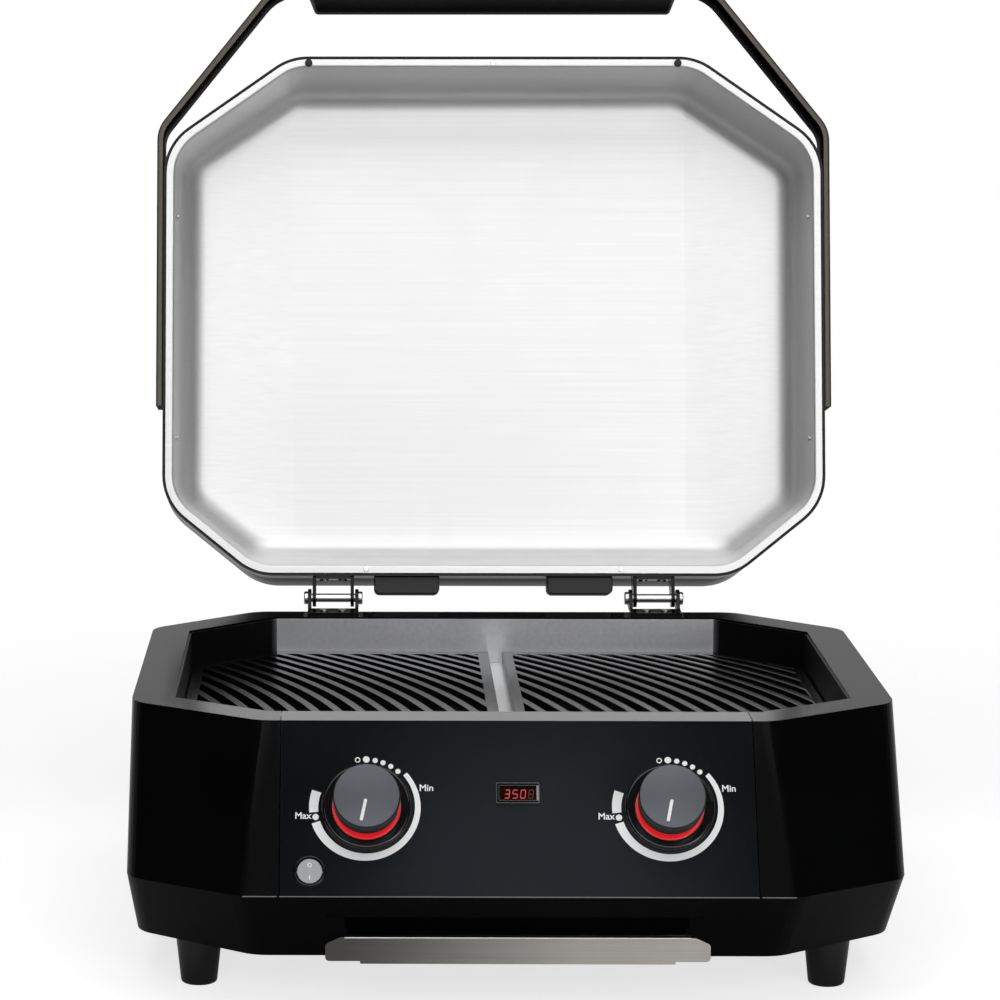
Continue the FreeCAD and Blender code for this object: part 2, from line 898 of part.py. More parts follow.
def curved_gaps():
    """The gaps between the curved bars: one gap, repeated across both grates."""
    body = new_body("CurvedGaps")
    low = ledge_height - size.overrun
    sketch = new_sketch(body, offset=low)
    front = grate_outside.front - size.overrun
    back = grate_outside.back + size.overrun
    gap = size.bar_pitch - size.bar_width
    ends = []
    for shift in (as_size(0), gap):
        centre = (shift - grate_outside.half_width - size.bar_radius, grate_outside.front)
        middle = flat(centre)
        reach = size.bar_radius.value
        rise_back = math.asin((back.value - centre[1].value) / reach)
        rise_front = math.asin((front.value - centre[1].value) / reach)
        circle = Part.Circle(middle, Vector(0, 0, 1), reach)
        arc = sketch.addGeometry(Part.ArcOfCircle(circle, rise_front, rise_back), False)
        constrain(sketch, "Radius", arc, length=size.bar_radius)
        fix_point(sketch, arc, 3, centre)
        constrain(sketch, "DistanceY", arc, 1, length=front)
        constrain(sketch, "DistanceY", arc, 2, length=back)
        ends.append(arc)
    for end in (1, 2):
        spots = [sketch.getPoint(arc, end) for arc in ends]
        line = sketch.addGeometry(Part.LineSegment(*spots), False)
        constrain(sketch, "Coincident", line, 1, ends[0], end)
        constrain(sketch, "Coincident", line, 2, ends[1], end)
    first = pad(body, sketch, size.grate_height + size.overrun * 2)
    pattern = body.newObject("PartDesign::LinearPattern", "Repeat")
    pattern.Originals = [first]
    pattern.Direction = (sketch, ["H_Axis"])
    pattern.Mode = "Spacing"
    pattern.setExpression("Offset", size.bar_pitch.formula)
    depth = grate_outside.back.value - grate_outside.front.value
    sweep = size.bar_radius.value - math.sqrt(size.bar_radius.value ** 2 - depth ** 2)
    span = 2 * grate_outside.half_width.value + sweep
    pattern.Occurrences = int(span / size.bar_pitch.value) + 1
    body.Tip = pattern
    return body


def make_grates():
    gaps = curved_gaps()
    inner = size.grate_gap / 2
    for side, sign in SIDES.items():
        plate = grate_half(f"{side}GratePlate", grate_outside, inner, sign, ledge_height, size.grate_height)
        field = grate_half(
            f"{side}GrateField", grate_inside, inner + size.grate_frame, sign, ledge_height - size.overrun,
            size.grate_height + size.overrun * 2,
        )
        slots = common(f"{side}GrateSlots", gaps, field)
        seat_width = size.bridge_seat + size.slip
        seat_x = inner if sign > 0 else -inner - seat_width
        seat = block(
            f"{side}BridgeSeat", seat_width, grate_outside.back - grate_outside.front + size.overrun * 2,
            size.bridge_thickness + size.overrun, seat_x, grate_outside.front - size.overrun,
            ledge_height - size.overrun,
        )
        named(cut(f"{side}Grate", plate, slots, seat), f"{side}_grate", at_body)
    half = inner + size.bridge_seat
    bridge = block(
        "CentreBridge", half * 2, grate_outside.back - grate_outside.front, size.bridge_thickness,
        -half, grate_outside.front, ledge_height,
    )
    named(bridge, "centre_bridge")
    place(bridge, x=-half, y=grate_outside.front - size.origin_setback, z=ledge_height)


def element_route(sign):
    """Two nested loops: in beside the middle, round the outside, back inside and out again."""
    wall = opening.front + size.slip + size.ledge_width
    start = wall - size.tube_outlet
    far = opening.back - size.ledge_width - size.loop_back_margin
    near = wall + size.loop_front_margin
    route = [
        (size.leg_inner, start), (size.leg_inner, far), (size.leg_outer, far), (size.leg_outer, near),
        (size.leg_middle, near), (size.leg_middle, far - size.loop_step),
        (size.leg_return, far - size.loop_step), (size.leg_return, start),
    ]
    return [(sign * x, y) for x, y in route]


def carrier_rows():
    """Where the upright plates under the heating tubes stand."""
    return (opening.front + size.carrier_front, opening.back - size.carrier_back)


def make_elements():
    for side, sign in SIDES.items():
        route = element_route(sign)
        body = new_body(f"{side}Element")
        path = draw(new_sketch(body, offset=size.tube_height), route, size.tube_bend, closed=False)
        start_x, start_y = route[0]
        mouth = new_sketch(body, "XZ_Plane", -start_y)
        section = draw_circle(mouth, start_x, size.tube_height, size.tube_radius)
        tube = body.newObject("PartDesign::AdditivePipe", "Tube")
        tube.Profile = section
        tube.Spine = path
        named(body, f"{side}_heating_element", at_body)


def make_carriers():
    """Upright plates on the fire box floor, notched for the heating tubes."""
    low = size.box_floor_height + size.sheet
    plates = []
    for side, sign in SIDES.items():
        for row, y in enumerate(carrier_rows()):
            body = new_body(f"{side}Carrier{row}")
            inner = sign * (size.leg_inner - size.carrier_overhang)
            outer = sign * (size.leg_outer + size.carrier_overhang)
            sketch = draw(new_sketch(body, "XZ_Plane", -y), rectangle(inner, low, outer, size.tube_height))
            pad(body, sketch, size.carrier_thickness)
            notches = new_sketch(body, "XZ_Plane", -y + size.carrier_thickness)
            for leg in (size.leg_inner, size.leg_return, size.leg_middle, size.leg_outer):
                draw_circle(notches, sign * leg, size.tube_height, size.tube_radius + size.slip)
            pocket(body, notches, size.carrier_thickness)
            plates.append(at_body(body))
    named(group("ElementCarriers", plates), "element_carriers")


# Controls on the front panel


def make_controls():
    for side, sign in SIDES.items():
        spot = {"x": sign * size.knob_spread / 2}
        named(make_bezel(side), f"{side}_knob_bezel", at_panel, **spot)
        named(make_glow(side), f"{side}_light_ring", at_panel, **spot)
        named(make_knob(side), f"{side}_knob", at_panel, **spot)
        named(make_shaft(side), f"{side}_knob_shaft", at_panel, **spot)
        named(make_regulator(side), f"{side}_regulator", at_panel, **spot)


def make_bezel(side):
    body = new_body(f"{side}Bezel")
    bore = size.glow_radius + size.slip
    spin(
        body,
        [(bore, 0), (size.bezel_radius, 0), (size.bezel_radius, size.bezel_height),
         (bore, size.bezel_height)],
        [0, 0, size.bezel_round, size.bezel_round / 2],
    )
    return body


def make_glow(side):
    """Clear ring let into the bezel that lights up under the knob."""
    body = new_body(f"{side}Glow")
    spin(
        body,
        [(size.glow_bore, 0), (size.glow_radius, 0), (size.glow_radius, size.glow_step),
         (size.glow_top_radius, size.glow_height), (size.glow_bore, size.glow_height)],
    )
    return body


shaft_top = size.knob_hub_low + size.shaft_grip


def make_knob(side):
    body = new_body(f"{side}Knob")
    bore = size.shaft_radius + size.running_fit
    roof = shaft_top + size.slip
    spin(
        body,
        [(bore, size.knob_hub_low), (size.knob_hub_radius, size.knob_hub_low),
         (size.knob_hub_radius, size.knob_low), (size.knob_radius, size.knob_low),
         (size.knob_radius, size.knob_height), (0, size.knob_height),
         (0, roof), (bore, roof)],
        [0, 0, 0, 0, size.knob_edge, 0, 0, 0],
    )
    return body


def make_shaft(side):
    body = new_body(f"{side}Shaft")
    low = -panel_sheet - size.shaft_tail
    spin(body, [(0, low), (size.shaft_radius, low), (size.shaft_radius, shaft_top), (0, shaft_top)])
    return body


def make_regulator(side):
    """Boxed switch behind the panel with a threaded bush that the shaft turns in."""
    body = new_body(f"{side}Regulator")
    half = size.regulator_size / 2
    back = -panel_sheet - size.regulator_depth
    plate = draw(new_sketch(body, offset=back), rectangle(-half, -half, half, half), size.regulator_round)
    pad(body, plate, size.regulator_depth)
    bush = draw_circle(new_sketch(body, offset=-panel_sheet), 0, 0, size.bush_radius)
    pad(body, bush, panel_sheet + size.knob_hub_low - size.slip)
    bore = new_sketch(body, offset=size.knob_hub_low)
    draw_circle(bore, 0, 0, size.shaft_radius + size.running_fit)
    pocket(body, bore, size.knob_hub_low + panel_sheet + size.shaft_tail + size.slip)
    return body


def make_display():
    half_x = size.display_width / 2
    half_y = size.display_height / 2
    border = size.display_border
    body = new_body("DisplayBezel")
    front = draw(new_sketch(body), rectangle(-half_x, -half_y, half_x, half_y), size.display_proud)
    pad(body, front, size.display_proud)
    neck_x = half_x - border / 2
    neck_y = half_y - border / 2
    neck = draw(new_sketch(body, offset=-size.display_sink), rectangle(-neck_x, -neck_y, neck_x, neck_y))
    pad(body, neck, size.display_sink)
    mouth_x = half_x - border
    mouth_y = half_y - border
    mouth = draw(new_sketch(body, offset=size.display_proud), rectangle(-mouth_x, -mouth_y, mouth_x, mouth_y))
    pocket(body, mouth, size.display_proud + size.display_sink)
    named(body, "display_bezel", at_panel, up=size.display_rise)
    window = new_body("DisplayWindow")
    pane = draw(
        new_sketch(window, offset=size.display_proud - size.window_recess - size.window_thickness),
        rectangle(size.slip - mouth_x, size.slip - mouth_y, mouth_x - size.slip, mouth_y - size.slip),
    )
    pad(window, pane, size.window_thickness)
    named(window, "display_window", at_panel, up=size.display_rise)
    board = new_body("DisplayBoard")
    board_x = size.board_width / 2
    board_y = size.board_height / 2
    plate = draw(
        new_sketch(board, offset=-size.display_sink - size.board_thickness),
        rectangle(-board_x, -board_y, board_x, board_y), size.board_thickness,
    )
    pad(board, plate, size.board_thickness)
    digits_x = mouth_x - size.slip * 2
    digits_y = mouth_y - size.slip * 2
    digits_top = size.display_proud - size.window_recess - size.window_thickness - size.slip
    digits = draw(new_sketch(board, offset=-size.display_sink),
                  rectangle(-digits_x, -digits_y, digits_x, digits_y))
    pad(board, digits, size.display_sink + digits_top)
    named(board, "display_board", at_panel, up=size.display_rise)


def make_switch():
    housing = new_body("SwitchHousing")
    well = size.rocker_radius + size.rocker_play
    floor = -size.rocker_well
    back = -size.switch_body_depth
    spin(
        housing,
        [(0, back), (size.switch_body_radius, back), (size.switch_body_radius, 0),
         (size.switch_bezel_radius, 0), (size.switch_bezel_radius, size.switch_bezel_height),
         (well, size.switch_bezel_height), (well, floor), (0, floor)],
        [0, 0, 0, 0, size.switch_bezel_height / 2, 0, 0, 0],
    )
    spot = {"x": -size.switch_from_middle, "up": -size.switch_drop}
    axle_hole = cross_rod(
        "SwitchAxleHole", size.rocker_axle + size.running_fit, size.switch_body_radius * 2,
        -size.switch_body_radius, 0, -size.rocker_well / 2,
    )
    named(cut("SwitchShell", housing, axle_hole), "switch_housing", at_panel, **spot)
    make_rocker(spot)


def make_rocker(spot):
    """Dished round button, drawn from its axle and tilted with its lower end pressed."""
    cap = new_body("RockerCap")
    top = size.switch_bezel_height + size.rocker_proud + size.rocker_well / 2
    low = -size.rocker_axle
    half = size.rocker_radius
    side_view = [(-half, low), (half, low), (half, top), (0, top - size.rocker_dish), (-half, top)]
    pad(cap, draw(new_sketch(cap, "YZ_Plane"), side_view), half * 2, both_ways=True)
    round_edge = rod("RockerRound", half, top - low + size.overrun * 2, 0, 0, low - size.overrun)
    reach = size.switch_body_radius - size.slip
    axle = cross_rod("RockerAxle", size.rocker_axle, reach * 2, -reach, 0, 0)
    rocker = fuse("Rocker", common("RockerDisc", cap, round_edge), axle)
    named(rocker, "switch_rocker", at_panel, **spot, out=-size.rocker_well / 2, tilt=size.rocker_tilt)


def make_inlet():
    body = new_body("MainsInlet")
    half_x = size.inlet_width / 2
    half_y = size.inlet_height / 2
    flange_x = size.inlet_flange_width / 2
    flange_y = size.inlet_flange_height / 2
    flange = draw(new_sketch(body), rectangle(-flange_x, -flange_y, flange_x, flange_y), size.inlet_round)
    pad(body, flange, size.inlet_flange)
    core = draw(new_sketch(body, offset=-size.inlet_depth), rectangle(-half_x, -half_y, half_x, half_y))
    pad(body, core, size.inlet_depth)
    wall = size.inlet_wall
    well = draw(
        new_sketch(body, offset=size.inlet_flange),
        rectangle(wall - half_x, wall - half_y, half_x - wall, half_y - wall), size.inlet_round,
    )
    pocket(body, well, size.inlet_flange + size.inlet_depth - size.inlet_floor)
    pins = new_sketch(body, offset=size.inlet_floor - size.inlet_depth)
    for place_across, place_up in ((-1, -1), (0, 1), (1, -1)):
        x = size.inlet_pin_spacing * place_across
        y = size.inlet_pin_height / 2 * place_up
        draw(pins, rectangle(x - size.inlet_pin_width / 2, y - size.inlet_pin_height / 2,
                             x + size.inlet_pin_width / 2, y + size.inlet_pin_height / 2))
    pad(body, pins, size.inlet_pin_length)
    named(body, "mains_inlet", at_back, x=size.inlet_from_middle, up=size.inlet_up)


# Hinges


def cheek(name, inner, thickness, profile, radii):
    """Upright plate square to X, drawn as (y, z) from the hinge axis."""
    body = new_body(name)
    pad(body, draw(new_sketch(body, "YZ_Plane", inner), profile, radii), thickness)
    return body


def hinge_cheeks(name, centre, inner, profile, radii):
    return [
        cheek(f"{name}Inner", centre - inner - size.cheek_thickness, size.cheek_thickness, profile, radii),
        cheek(f"{name}Outer", centre + inner, size.cheek_thickness, profile, radii),
    ]


lid_cheek_at = size.cheek_gap / 2
body_cheek_at = lid_cheek_at + size.cheek_thickness + size.cheek_play
hinge_half = body_cheek_at + size.cheek_thickness


def make_body_hinge(side, sign):
    """Folded bracket on the rim: a foot under the closed lid and two cheeks behind it."""
    centre = sign * size.hinge_spread / 2
    low = -size.hinge_above
    floor = low + size.hinge_plate
    reach = size.cheek_radius
    back = -size.hinge_behind
    profile = [(back, low), (reach, low), (reach, reach), (-reach, reach), (back + size.hinge_plate, floor),
               (back, floor)]
    cheeks = hinge_cheeks(f"{side}BodyCheek", centre, body_cheek_at, profile,
                          [0, size.hinge_plate, reach - size.slip, reach - size.slip, 0, 0])
    plate = block(
        f"{side}BodyHingePlate", hinge_half * 2, size.hinge_foot_depth + back + size.hinge_plate,
        size.hinge_plate, centre - hinge_half, -size.hinge_foot_depth, low,
    )
    solid = fuse(f"{side}BodyHingeBlank", plate, *cheeks)
    bore = cross_rod(f"{side}BodyHingeBore", size.pin_radius + size.running_fit,
                     hinge_half * 2 + size.overrun * 2, centre - hinge_half - size.overrun, 0, 0)
    holes = [
        rod(f"{side}BodyHingeHole{index}", size.hinge_screw_radius + size.slip, size.hinge_plate * 3,
            centre + across * size.hinge_screw_spread / 2, -size.hinge_behind - size.hinge_screw_in,
            low - size.hinge_plate)
        for index, across in enumerate((-1, 1))
    ]
    bracket = cut(f"{side}BodyHinge", solid, bore, *holes)
    named(bracket, f"{side}_body_hinge")
    place(bracket, y=hinge_y - size.origin_setback, z=hinge_z)


def make_lid_hinge(side, sign):
    """Folded bracket on the lid's back wall with two cheeks round the pin."""
    centre = sign * size.hinge_spread / 2
    wall = lid_back
    face = wall + size.hinge_plate
    reach = size.cheek_radius
    top = lid_low + size.hinge_plate_height
    profile = [(wall, lid_low + size.hinge_plate), (reach, -reach), (reach, reach), (face, top), (wall, top)]
    cheeks = hinge_cheeks(f"{side}LidCheek", centre, lid_cheek_at, profile,
                          [0, reach - size.slip, reach - size.slip, 0, 0])
    half = lid_cheek_at + size.cheek_thickness
    plate = block(f"{side}LidHingePlate", half * 2, size.hinge_plate,
                  size.hinge_plate_height - size.hinge_plate, centre - half, wall, lid_low + size.hinge_plate)
    solid = fuse(f"{side}LidHingeBlank", plate, *cheeks)
    bore = cross_rod(f"{side}LidHingeBore", size.pin_radius + size.running_fit, hinge_half * 2,
                     centre - hinge_half, 0, 0)
    named(cut(f"{side}LidHinge", solid, bore, *lid_hinge_holes(side, sign)), f"{side}_lid_hinge", at_lid)


def lid_hinge_holes(name, sign):
    """Cutters for the two screws that hold a lid bracket to the back wall."""
    centre = sign * size.hinge_spread / 2
    length = size.hinge_plate * 2 + size.lid_sheet * 2
    return [
        rod(f"{name}LidHingeHole{index}", size.hinge_screw_radius + size.slip, length,
            centre + across * size.hinge_screw_spread / 2, lid_back + size.hinge_plate * 2,
            lid_low + size.hinge_screw_up, turn=90)
        for index, across in enumerate((-1, 1))
    ]


def screw(name, radius, length, head_radius, head_height):
    """Round-headed screw: shank down from 0, head up from 0."""
    body = new_body(name)
    spin(
        body,
        [(0, -length), (radius, -length), (radius, 0), (head_radius, 0), (head_radius, head_height),
         (0, head_height)],
        [0, 0, 0, 0, head_height / 2, 0],
    )
    return body


def make_hinges():
    body_screws = []
    lid_screws = []
    for side, sign in SIDES.items():
        make_body_hinge(side, sign)
        make_lid_hinge(side, sign)
        centre = sign * size.hinge_spread / 2
        pin = new_body(f"{side}HingePin")
        spin(
            pin,
            [(0, -hinge_half - size.pin_head), (size.pin_head_radius, -hinge_half - size.pin_head),
             (size.pin_head_radius, -hinge_half), (size.pin_radius, -hinge_half),
             (size.pin_radius, hinge_half),
             (size.pin_head_radius, hinge_half), (size.pin_head_radius, hinge_half + size.pin_head),
             (0, hinge_half + size.pin_head)],
            [0, size.pin_head / 3, 0, 0, 0, 0, size.pin_head / 3, 0],
        )
        named(pin, f"{side}_hinge_pin")
        y = (hinge_y - size.origin_setback).formula
        base_point = f"create(<<vector>>; {centre.formula}; {y}; {hinge_z.formula})"
        rotation = "create(<<rotation>>; create(<<vector>>; 0; 1; 0); 90)"
        pin.setExpression("Placement", f"create(<<placement>>; {base_point}; {rotation})")
        for across in (-1, 1):
            x = centre + across * size.hinge_screw_spread / 2
            body_screw = screw(
                f"{side}BodyHingeScrew", size.hinge_screw_radius, size.hinge_plate + size.sheet * 2,
                size.hinge_screw_head, size.hinge_screw_head_height,
            )
            y = size.rim_depth - size.hinge_screw_in - size.origin_setback
            body_screws.append(place(body_screw, x=x, y=y, z=size.rim_height + size.hinge_plate))
            bracket_screw = screw(
                f"{side}LidHingeScrew", size.hinge_screw_radius, size.hinge_plate + size.lid_sheet * 2,
                size.hinge_screw_head, size.hinge_screw_head_height,
            )
            z = lid_low + size.hinge_screw_up
            lid_screws.append(place(bracket_screw, x=x, y=lid_back + size.hinge_plate, z=z, turn=-90))
    named(group("BodyHingeScrews", body_screws), "body_hinge_screws")
    named(group("LidHingeScrews", lid_screws), "lid_hinge_screws", at_lid)


# Lid


def lid_sketch(body, setin, height, back=None):
    """Rounded lid outline, moved in by setin, or by back at the hinges, at a height above the rim face."""
    outline = lid_rim.inset(setin, back=back)
    sketch = new_sketch(body, offset=lid_low + height)
    return draw(sketch, outline.points(), size.lid_corner_radius - setin)


def fold_cut(body, top, drop, sheet):
    """Slope the roof down to both sides from its two fold lines."""
    half = size.lid_fold_width / 2
    edge = lid_rim.half_width
    slope = drop / (edge - half)
    reach = edge + size.overrun - half
    high = lid_low + top
    far = lid_back + size.overrun
    for sign in SIDES.values():
        over = high + size.overrun + sheet
        points = [(sign * half, high), (sign * (half + reach), high - slope * reach),
                  (sign * (half + reach), over), (sign * half, over)]
        sketch = draw(new_sketch(body, "XZ_Plane", -far), points)
        pocket(body, sketch, size.lid_depth + size.overrun * 2, forwards=True)


def lid_solid(name, setin, start, sheet):
    """Filled lid: straight to the waist, out a little to the shoulder, in to the roof, and folded."""
    body = new_body(name)
    loft(body, [
        lid_sketch(body, setin, start),
        lid_sketch(body, setin, size.lid_waist),
        lid_sketch(body, setin - size.lid_bulge, size.lid_shoulder - sheet, setin - size.lid_back_bulge),
        lid_sketch(body, setin + size.lid_roof_setin, size.lid_height - sheet),
    ])
    fold_cut(body, size.lid_height - sheet, size.lid_fold_drop, sheet)
    return body


def flange_screw_places():
    """Where the liner's flange is screwed to the shell, as x and y from the hinge axis."""
    middle_of_flange = size.lid_sheet + size.seam + size.liner_flange / 2
    back = lid_back - middle_of_flange
    places = [(0, lid_back - size.lid_depth + middle_of_flange)]
    for sign in SIDES.values():
        places.append((sign * size.lid_screw_back_spread / 2, back))
    return places


def wall_screw_places():
    """Where the liner's side walls are screwed, as y from the hinge axis."""
    low = lid_back - size.lid_screw_side
    return (low, low - size.lid_screw_side_spread)


def at_liner_wall(target, sign, y):
    """Stand a piece on the liner's side wall, square to it and pointing into the lid's hollow."""
    up_share = size.lid_screw_up / size.liner_roof_height
    wall = size.lid_width / 2 - size.lid_sheet - size.seam - size.liner_flange
    x = (wall - size.liner_roof_setin * up_share) * sign
    z = lid_low + size.lid_screw_up
    spot = f"create(<<vector>>; {x.formula}; {y.formula}; {z.formula})"
    lean = angle_of(size.liner_roof_height, size.liner_roof_setin)
    rotation = f"create(<<rotation>>; create(<<vector>>; 0; 1; 0); ({lean.formula} - 180) * {sign})"
    target.setExpression("Placement", f"create(<<placement>>; {spot}; {rotation})")
    return target


def bolt_places():
    """Along the lid's side, as y from the hinge axis."""
    first = lid_back - size.strap_start - size.bolt_first
    return (first, first - size.bolt_spacing)


def make_lid_shell():
    outside = lid_solid("LidOutside", as_size(0), as_size(0), as_size(0))
    ceiling = size.liner_sheet + size.lid_sheet
    inside = lid_solid("LidInside", size.lid_sheet, ceiling, size.lid_sheet)
    trim = new_body("LidMouth")
    mouth = lid_sketch(trim, size.lid_sheet + size.lid_return, -size.overrun)
    pad(trim, mouth, ceiling + size.overrun * 2)
    recess = lid_sketch(trim, size.lid_sheet, -size.overrun)
    pad(trim, recess, size.liner_sheet + size.overrun)
    tools = [inside, trim]
    for index, (x, y) in enumerate(flange_screw_places()):
        tools.append(rod(f"ShellScrewHole{index}", size.lid_screw_radius + size.slip, ceiling + size.overrun,
                         x, y, lid_low))
    for side, sign in SIDES.items():
        tools += lid_hinge_holes(f"{side}Shell", sign)
        for index, y in enumerate(bolt_places()):
            start = sign * (size.lid_width / 2) - size.bolt_reach
            tools.append(cross_rod(f"{side}ShellBolt{index}", size.bolt_radius + size.slip,
                                   size.bolt_reach * 2, start, y, strap_middle))
    named(cut("LidShell", outside, *tools), "lid_shell", at_lid)


strap_middle = lid_low + size.strap_low + size.strap_width / 2


def make_lid_liner():
    """Pressed inner skin with a flat flange, sloping walls and the same folded roof."""
    edge = size.lid_sheet + size.seam
    inner_edge = edge + size.liner_flange
    sheet = size.liner_sheet
    outside = new_body("LinerOutside")
    loft(outside, [
        lid_sketch(outside, inner_edge - sheet, as_size(0)),
        lid_sketch(outside, inner_edge - sheet + size.liner_roof_setin, size.liner_roof_height + sheet),
    ])
    fold_cut(outside, size.liner_roof_height + sheet, size.liner_fold_drop, sheet)
    flange = new_body("LinerFlange")
    pad(flange, lid_sketch(flange, edge, as_size(0)), sheet)
    inside = new_body("LinerInside")
    loft(inside, [
        lid_sketch(inside, inner_edge, as_size(0)),
        lid_sketch(inside, inner_edge + size.liner_roof_setin, size.liner_roof_height),
    ])
    fold_cut(inside, size.liner_roof_height, size.liner_fold_drop, sheet)
    holes = [
        rod(f"LinerScrewHole{index}", size.lid_screw_radius + size.slip, sheet + size.overrun * 2, x, y,
            lid_low - size.overrun)
        for index, (x, y) in enumerate(flange_screw_places())
    ]
    for side, sign in SIDES.items():
        for index, y in enumerate(wall_screw_places()):
            cutter = rod(f"{side}WallCutter{index}", size.lid_screw_radius + size.slip,
                         sheet + size.overrun * 2, 0, 0, -sheet - size.overrun)
            holes.append(at_liner_wall(group(f"{side}WallHole{index}", [cutter]), sign, y))
    solid = fuse("LinerBlank", outside, flange)
    named(cut("LidLiner", solid, inside, *holes), "lid_liner", at_lid)


def lid_screw(name):
    return screw(name, size.lid_screw_radius, size.lid_screw_length,
                 size.lid_screw_head, size.lid_screw_head_height)


def make_lid_trim():
    screws = [
        place(lid_screw("FlangeScrew"), x=x, y=y, z=lid_low, turn=180)
        for x, y in flange_screw_places()
    ]
    for side, sign in SIDES.items():
        for y in wall_screw_places():
            screws.append(at_liner_wall(lid_screw(f"{side}WallScrew"), sign, y))
    named(group("LidScrews", screws), "lid_screws", at_lid)
    depth = size.lid_sheet + size.seam + size.liner_flange / 2
    height = size.lid_gap - size.slip
    for side, sign in SIDES.items():
        bumper = new_body(f"{side}Bumper")
        spin(
            bumper,
            [(0, 0), (size.bumper_radius, 0), (size.bumper_radius, -height), (0, -height)],
            [0, 0, size.bumper_radius / 3, 0],
        )
        front = lid_back - size.lid_depth + depth
        seat = doc.addObject("Part::Compound", f"{side}BumperSeat")
        seat.Links = [place(bumper, x=sign * size.bumper_spread / 2, y=front, z=lid_low)]
        named(seat, f"{side}_lid_bumper", at_lid)
        stop = new_body(f"{side}Stop")
        near = sign * size.stop_inner
        far = sign * (size.stop_inner + size.stop_width)
        plan = [(near, lid_back), (far, lid_back), (far, lid_back + size.stop_reach),
                (near, lid_back + size.stop_reach)]
        sketch = draw(new_sketch(stop, offset=lid_low + size.stop_low), plan,
                      [0, 0, size.stop_round, size.stop_round])
        pad(stop, sketch, size.stop_height)
        named(stop, f"{side}_lid_stop", at_lid)


def strap_outline():
    """Bent flat bar seen along the lid's height: up one side, over the front and down the other."""
    thick = size.strap_thickness
    outer_x = size.lid_width / 2 + thick
    top_half = size.strap_top_width / 2
    start = lid_back - size.strap_start
    bend = lid_back - size.strap_bend_at
    top = lid_back - size.strap_top_at
    across = outer_x - top_half
    rise = bend - top
    slant = hypotenuse(across, rise)
    inner_bend = bend + thick * (slant - rise) / across
    inner_half = top_half - thick * (slant - across) / rise
    outer = [(outer_x - size.strap_end, start), (outer_x, start - size.strap_end), (outer_x, bend),
             (top_half, top)]
    inner = [(inner_half, top + thick), (outer_x - thick, inner_bend), (outer_x - thick, start)]
    low_bend = size.strap_bend + thick
    top_bend = size.strap_top_bend + thick
    points = outer + [(-x, y) for x, y in reversed(outer)] + [(-x, y) for x, y in reversed(inner)] + inner
    radii = [0, 0, low_bend, top_bend, top_bend, low_bend, 0, 0]
    radii += [0, size.strap_bend, size.strap_top_bend, size.strap_top_bend, size.strap_bend, 0]
    return points, radii


def make_handle():
    strap = new_body("HandleStrap")
    points, radii = strap_outline()
    pad(strap, draw(new_sketch(strap, offset=lid_low + size.strap_low), points, radii), size.strap_width)
    bores = []
    bolts = []
    for side, sign in SIDES.items():
        for index, y in enumerate(bolt_places()):
            start = sign * (size.lid_width / 2 + size.strap_thickness / 2) - size.strap_thickness
            bores.append(cross_rod(f"{side}StrapBore{index}", size.bolt_radius + size.slip,
                                   size.strap_thickness * 2, start, y, strap_middle))
            bolt = screw(f"{side}Bolt{index}", size.bolt_radius, size.bolt_reach, size.bolt_head_radius,
                         size.bolt_head_height)
            x = (sign * (size.lid_width / 2 + size.strap_thickness)).formula
            spot = f"create(<<vector>>; {x}; {y.formula}; {strap_middle.formula})"
            rotation = f"create(<<rotation>>; create(<<vector>>; 0; 1; 0); {90 * sign})"
            bolt.setExpression("Placement", f"create(<<placement>>; {spot}; {rotation})")
            bolts.append(bolt)
    named(cut("Strap", strap, *bores), "handle_strap", at_lid)
    named(group("HandleBolts", bolts), "handle_bolts", at_lid)
    grip = new_body("GripBlank")
    half = size.grip_length / 2
    waist = half - size.grip_taper
    spin(
        grip,
        [(0, -half), (size.grip_nose_radius, -half), (size.grip_radius, -waist), (size.grip_radius, waist),
         (size.grip_nose_radius, half), (0, half)],
        [0, size.foot_edge, size.foot_edge, size.foot_edge, size.foot_edge, 0],
    )
    y = lid_back - size.strap_top_at + size.strap_thickness / 2
    spot = f"create(<<vector>>; 0; {y.formula}; {strap_middle.formula})"
    rotation = "create(<<rotation>>; create(<<vector>>; 0; 1; 0); 90)"
    grip.setExpression("Placement", f"create(<<placement>>; {spot}; {rotation})")
    slot = block(
        "GripSlot", size.grip_length + size.overrun * 2, size.strap_thickness + size.running_fit * 2,
        size.strap_width + size.running_fit * 2, -half - size.overrun,
        y - size.strap_thickness / 2 - size.running_fit,
        strap_middle - size.strap_width / 2 - size.running_fit,
    )
    named(cut("HandleGrip", grip, slot), "handle_grip", at_lid)


make_shell_and_panel()
make_base_pan()
make_feet()
make_tray()
make_rails()
make_fire_box()
make_grates()
make_elements()
make_carriers()
make_controls()
make_display()
make_switch()
make_inlet()
make_hinges()
make_lid_shell()
make_lid_liner()
make_lid_trim()
make_handle()

doc.recompute()

# Nothing is written unless every object is sound
faults = [
    f"{item.Name} ({item.Label}): {item.State}"
    for item in doc.Objects
    if any(word in item.State for word in ("Invalid", "Error"))
]
for piece in pieces:
    shape = piece.Shape
    if shape.isNull() or not shape.isValid() or not shape.Solids:
        faults.append(f"{piece.Label}: no sound solid")
if faults:
    raise SystemExit("\n".join(faults))

os.makedirs("parts", exist_ok=True)
for piece in pieces:
    piece.Shape.exportStep(f"parts/{piece.Label}.step")
    box = piece.Shape.BoundBox
    print(
        f"{piece.Label}: {len(piece.Shape.Solids)} solid(s), {piece.Shape.Volume:.0f} mm3, "
        f"x {box.XMin:.1f} {box.XMax:.1f}, y {box.YMin:.1f} {box.YMax:.1f}, z {box.ZMin:.1f} {box.ZMax:.1f}"
    )
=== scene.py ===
"""Looks of a countertop electric grill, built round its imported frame."""

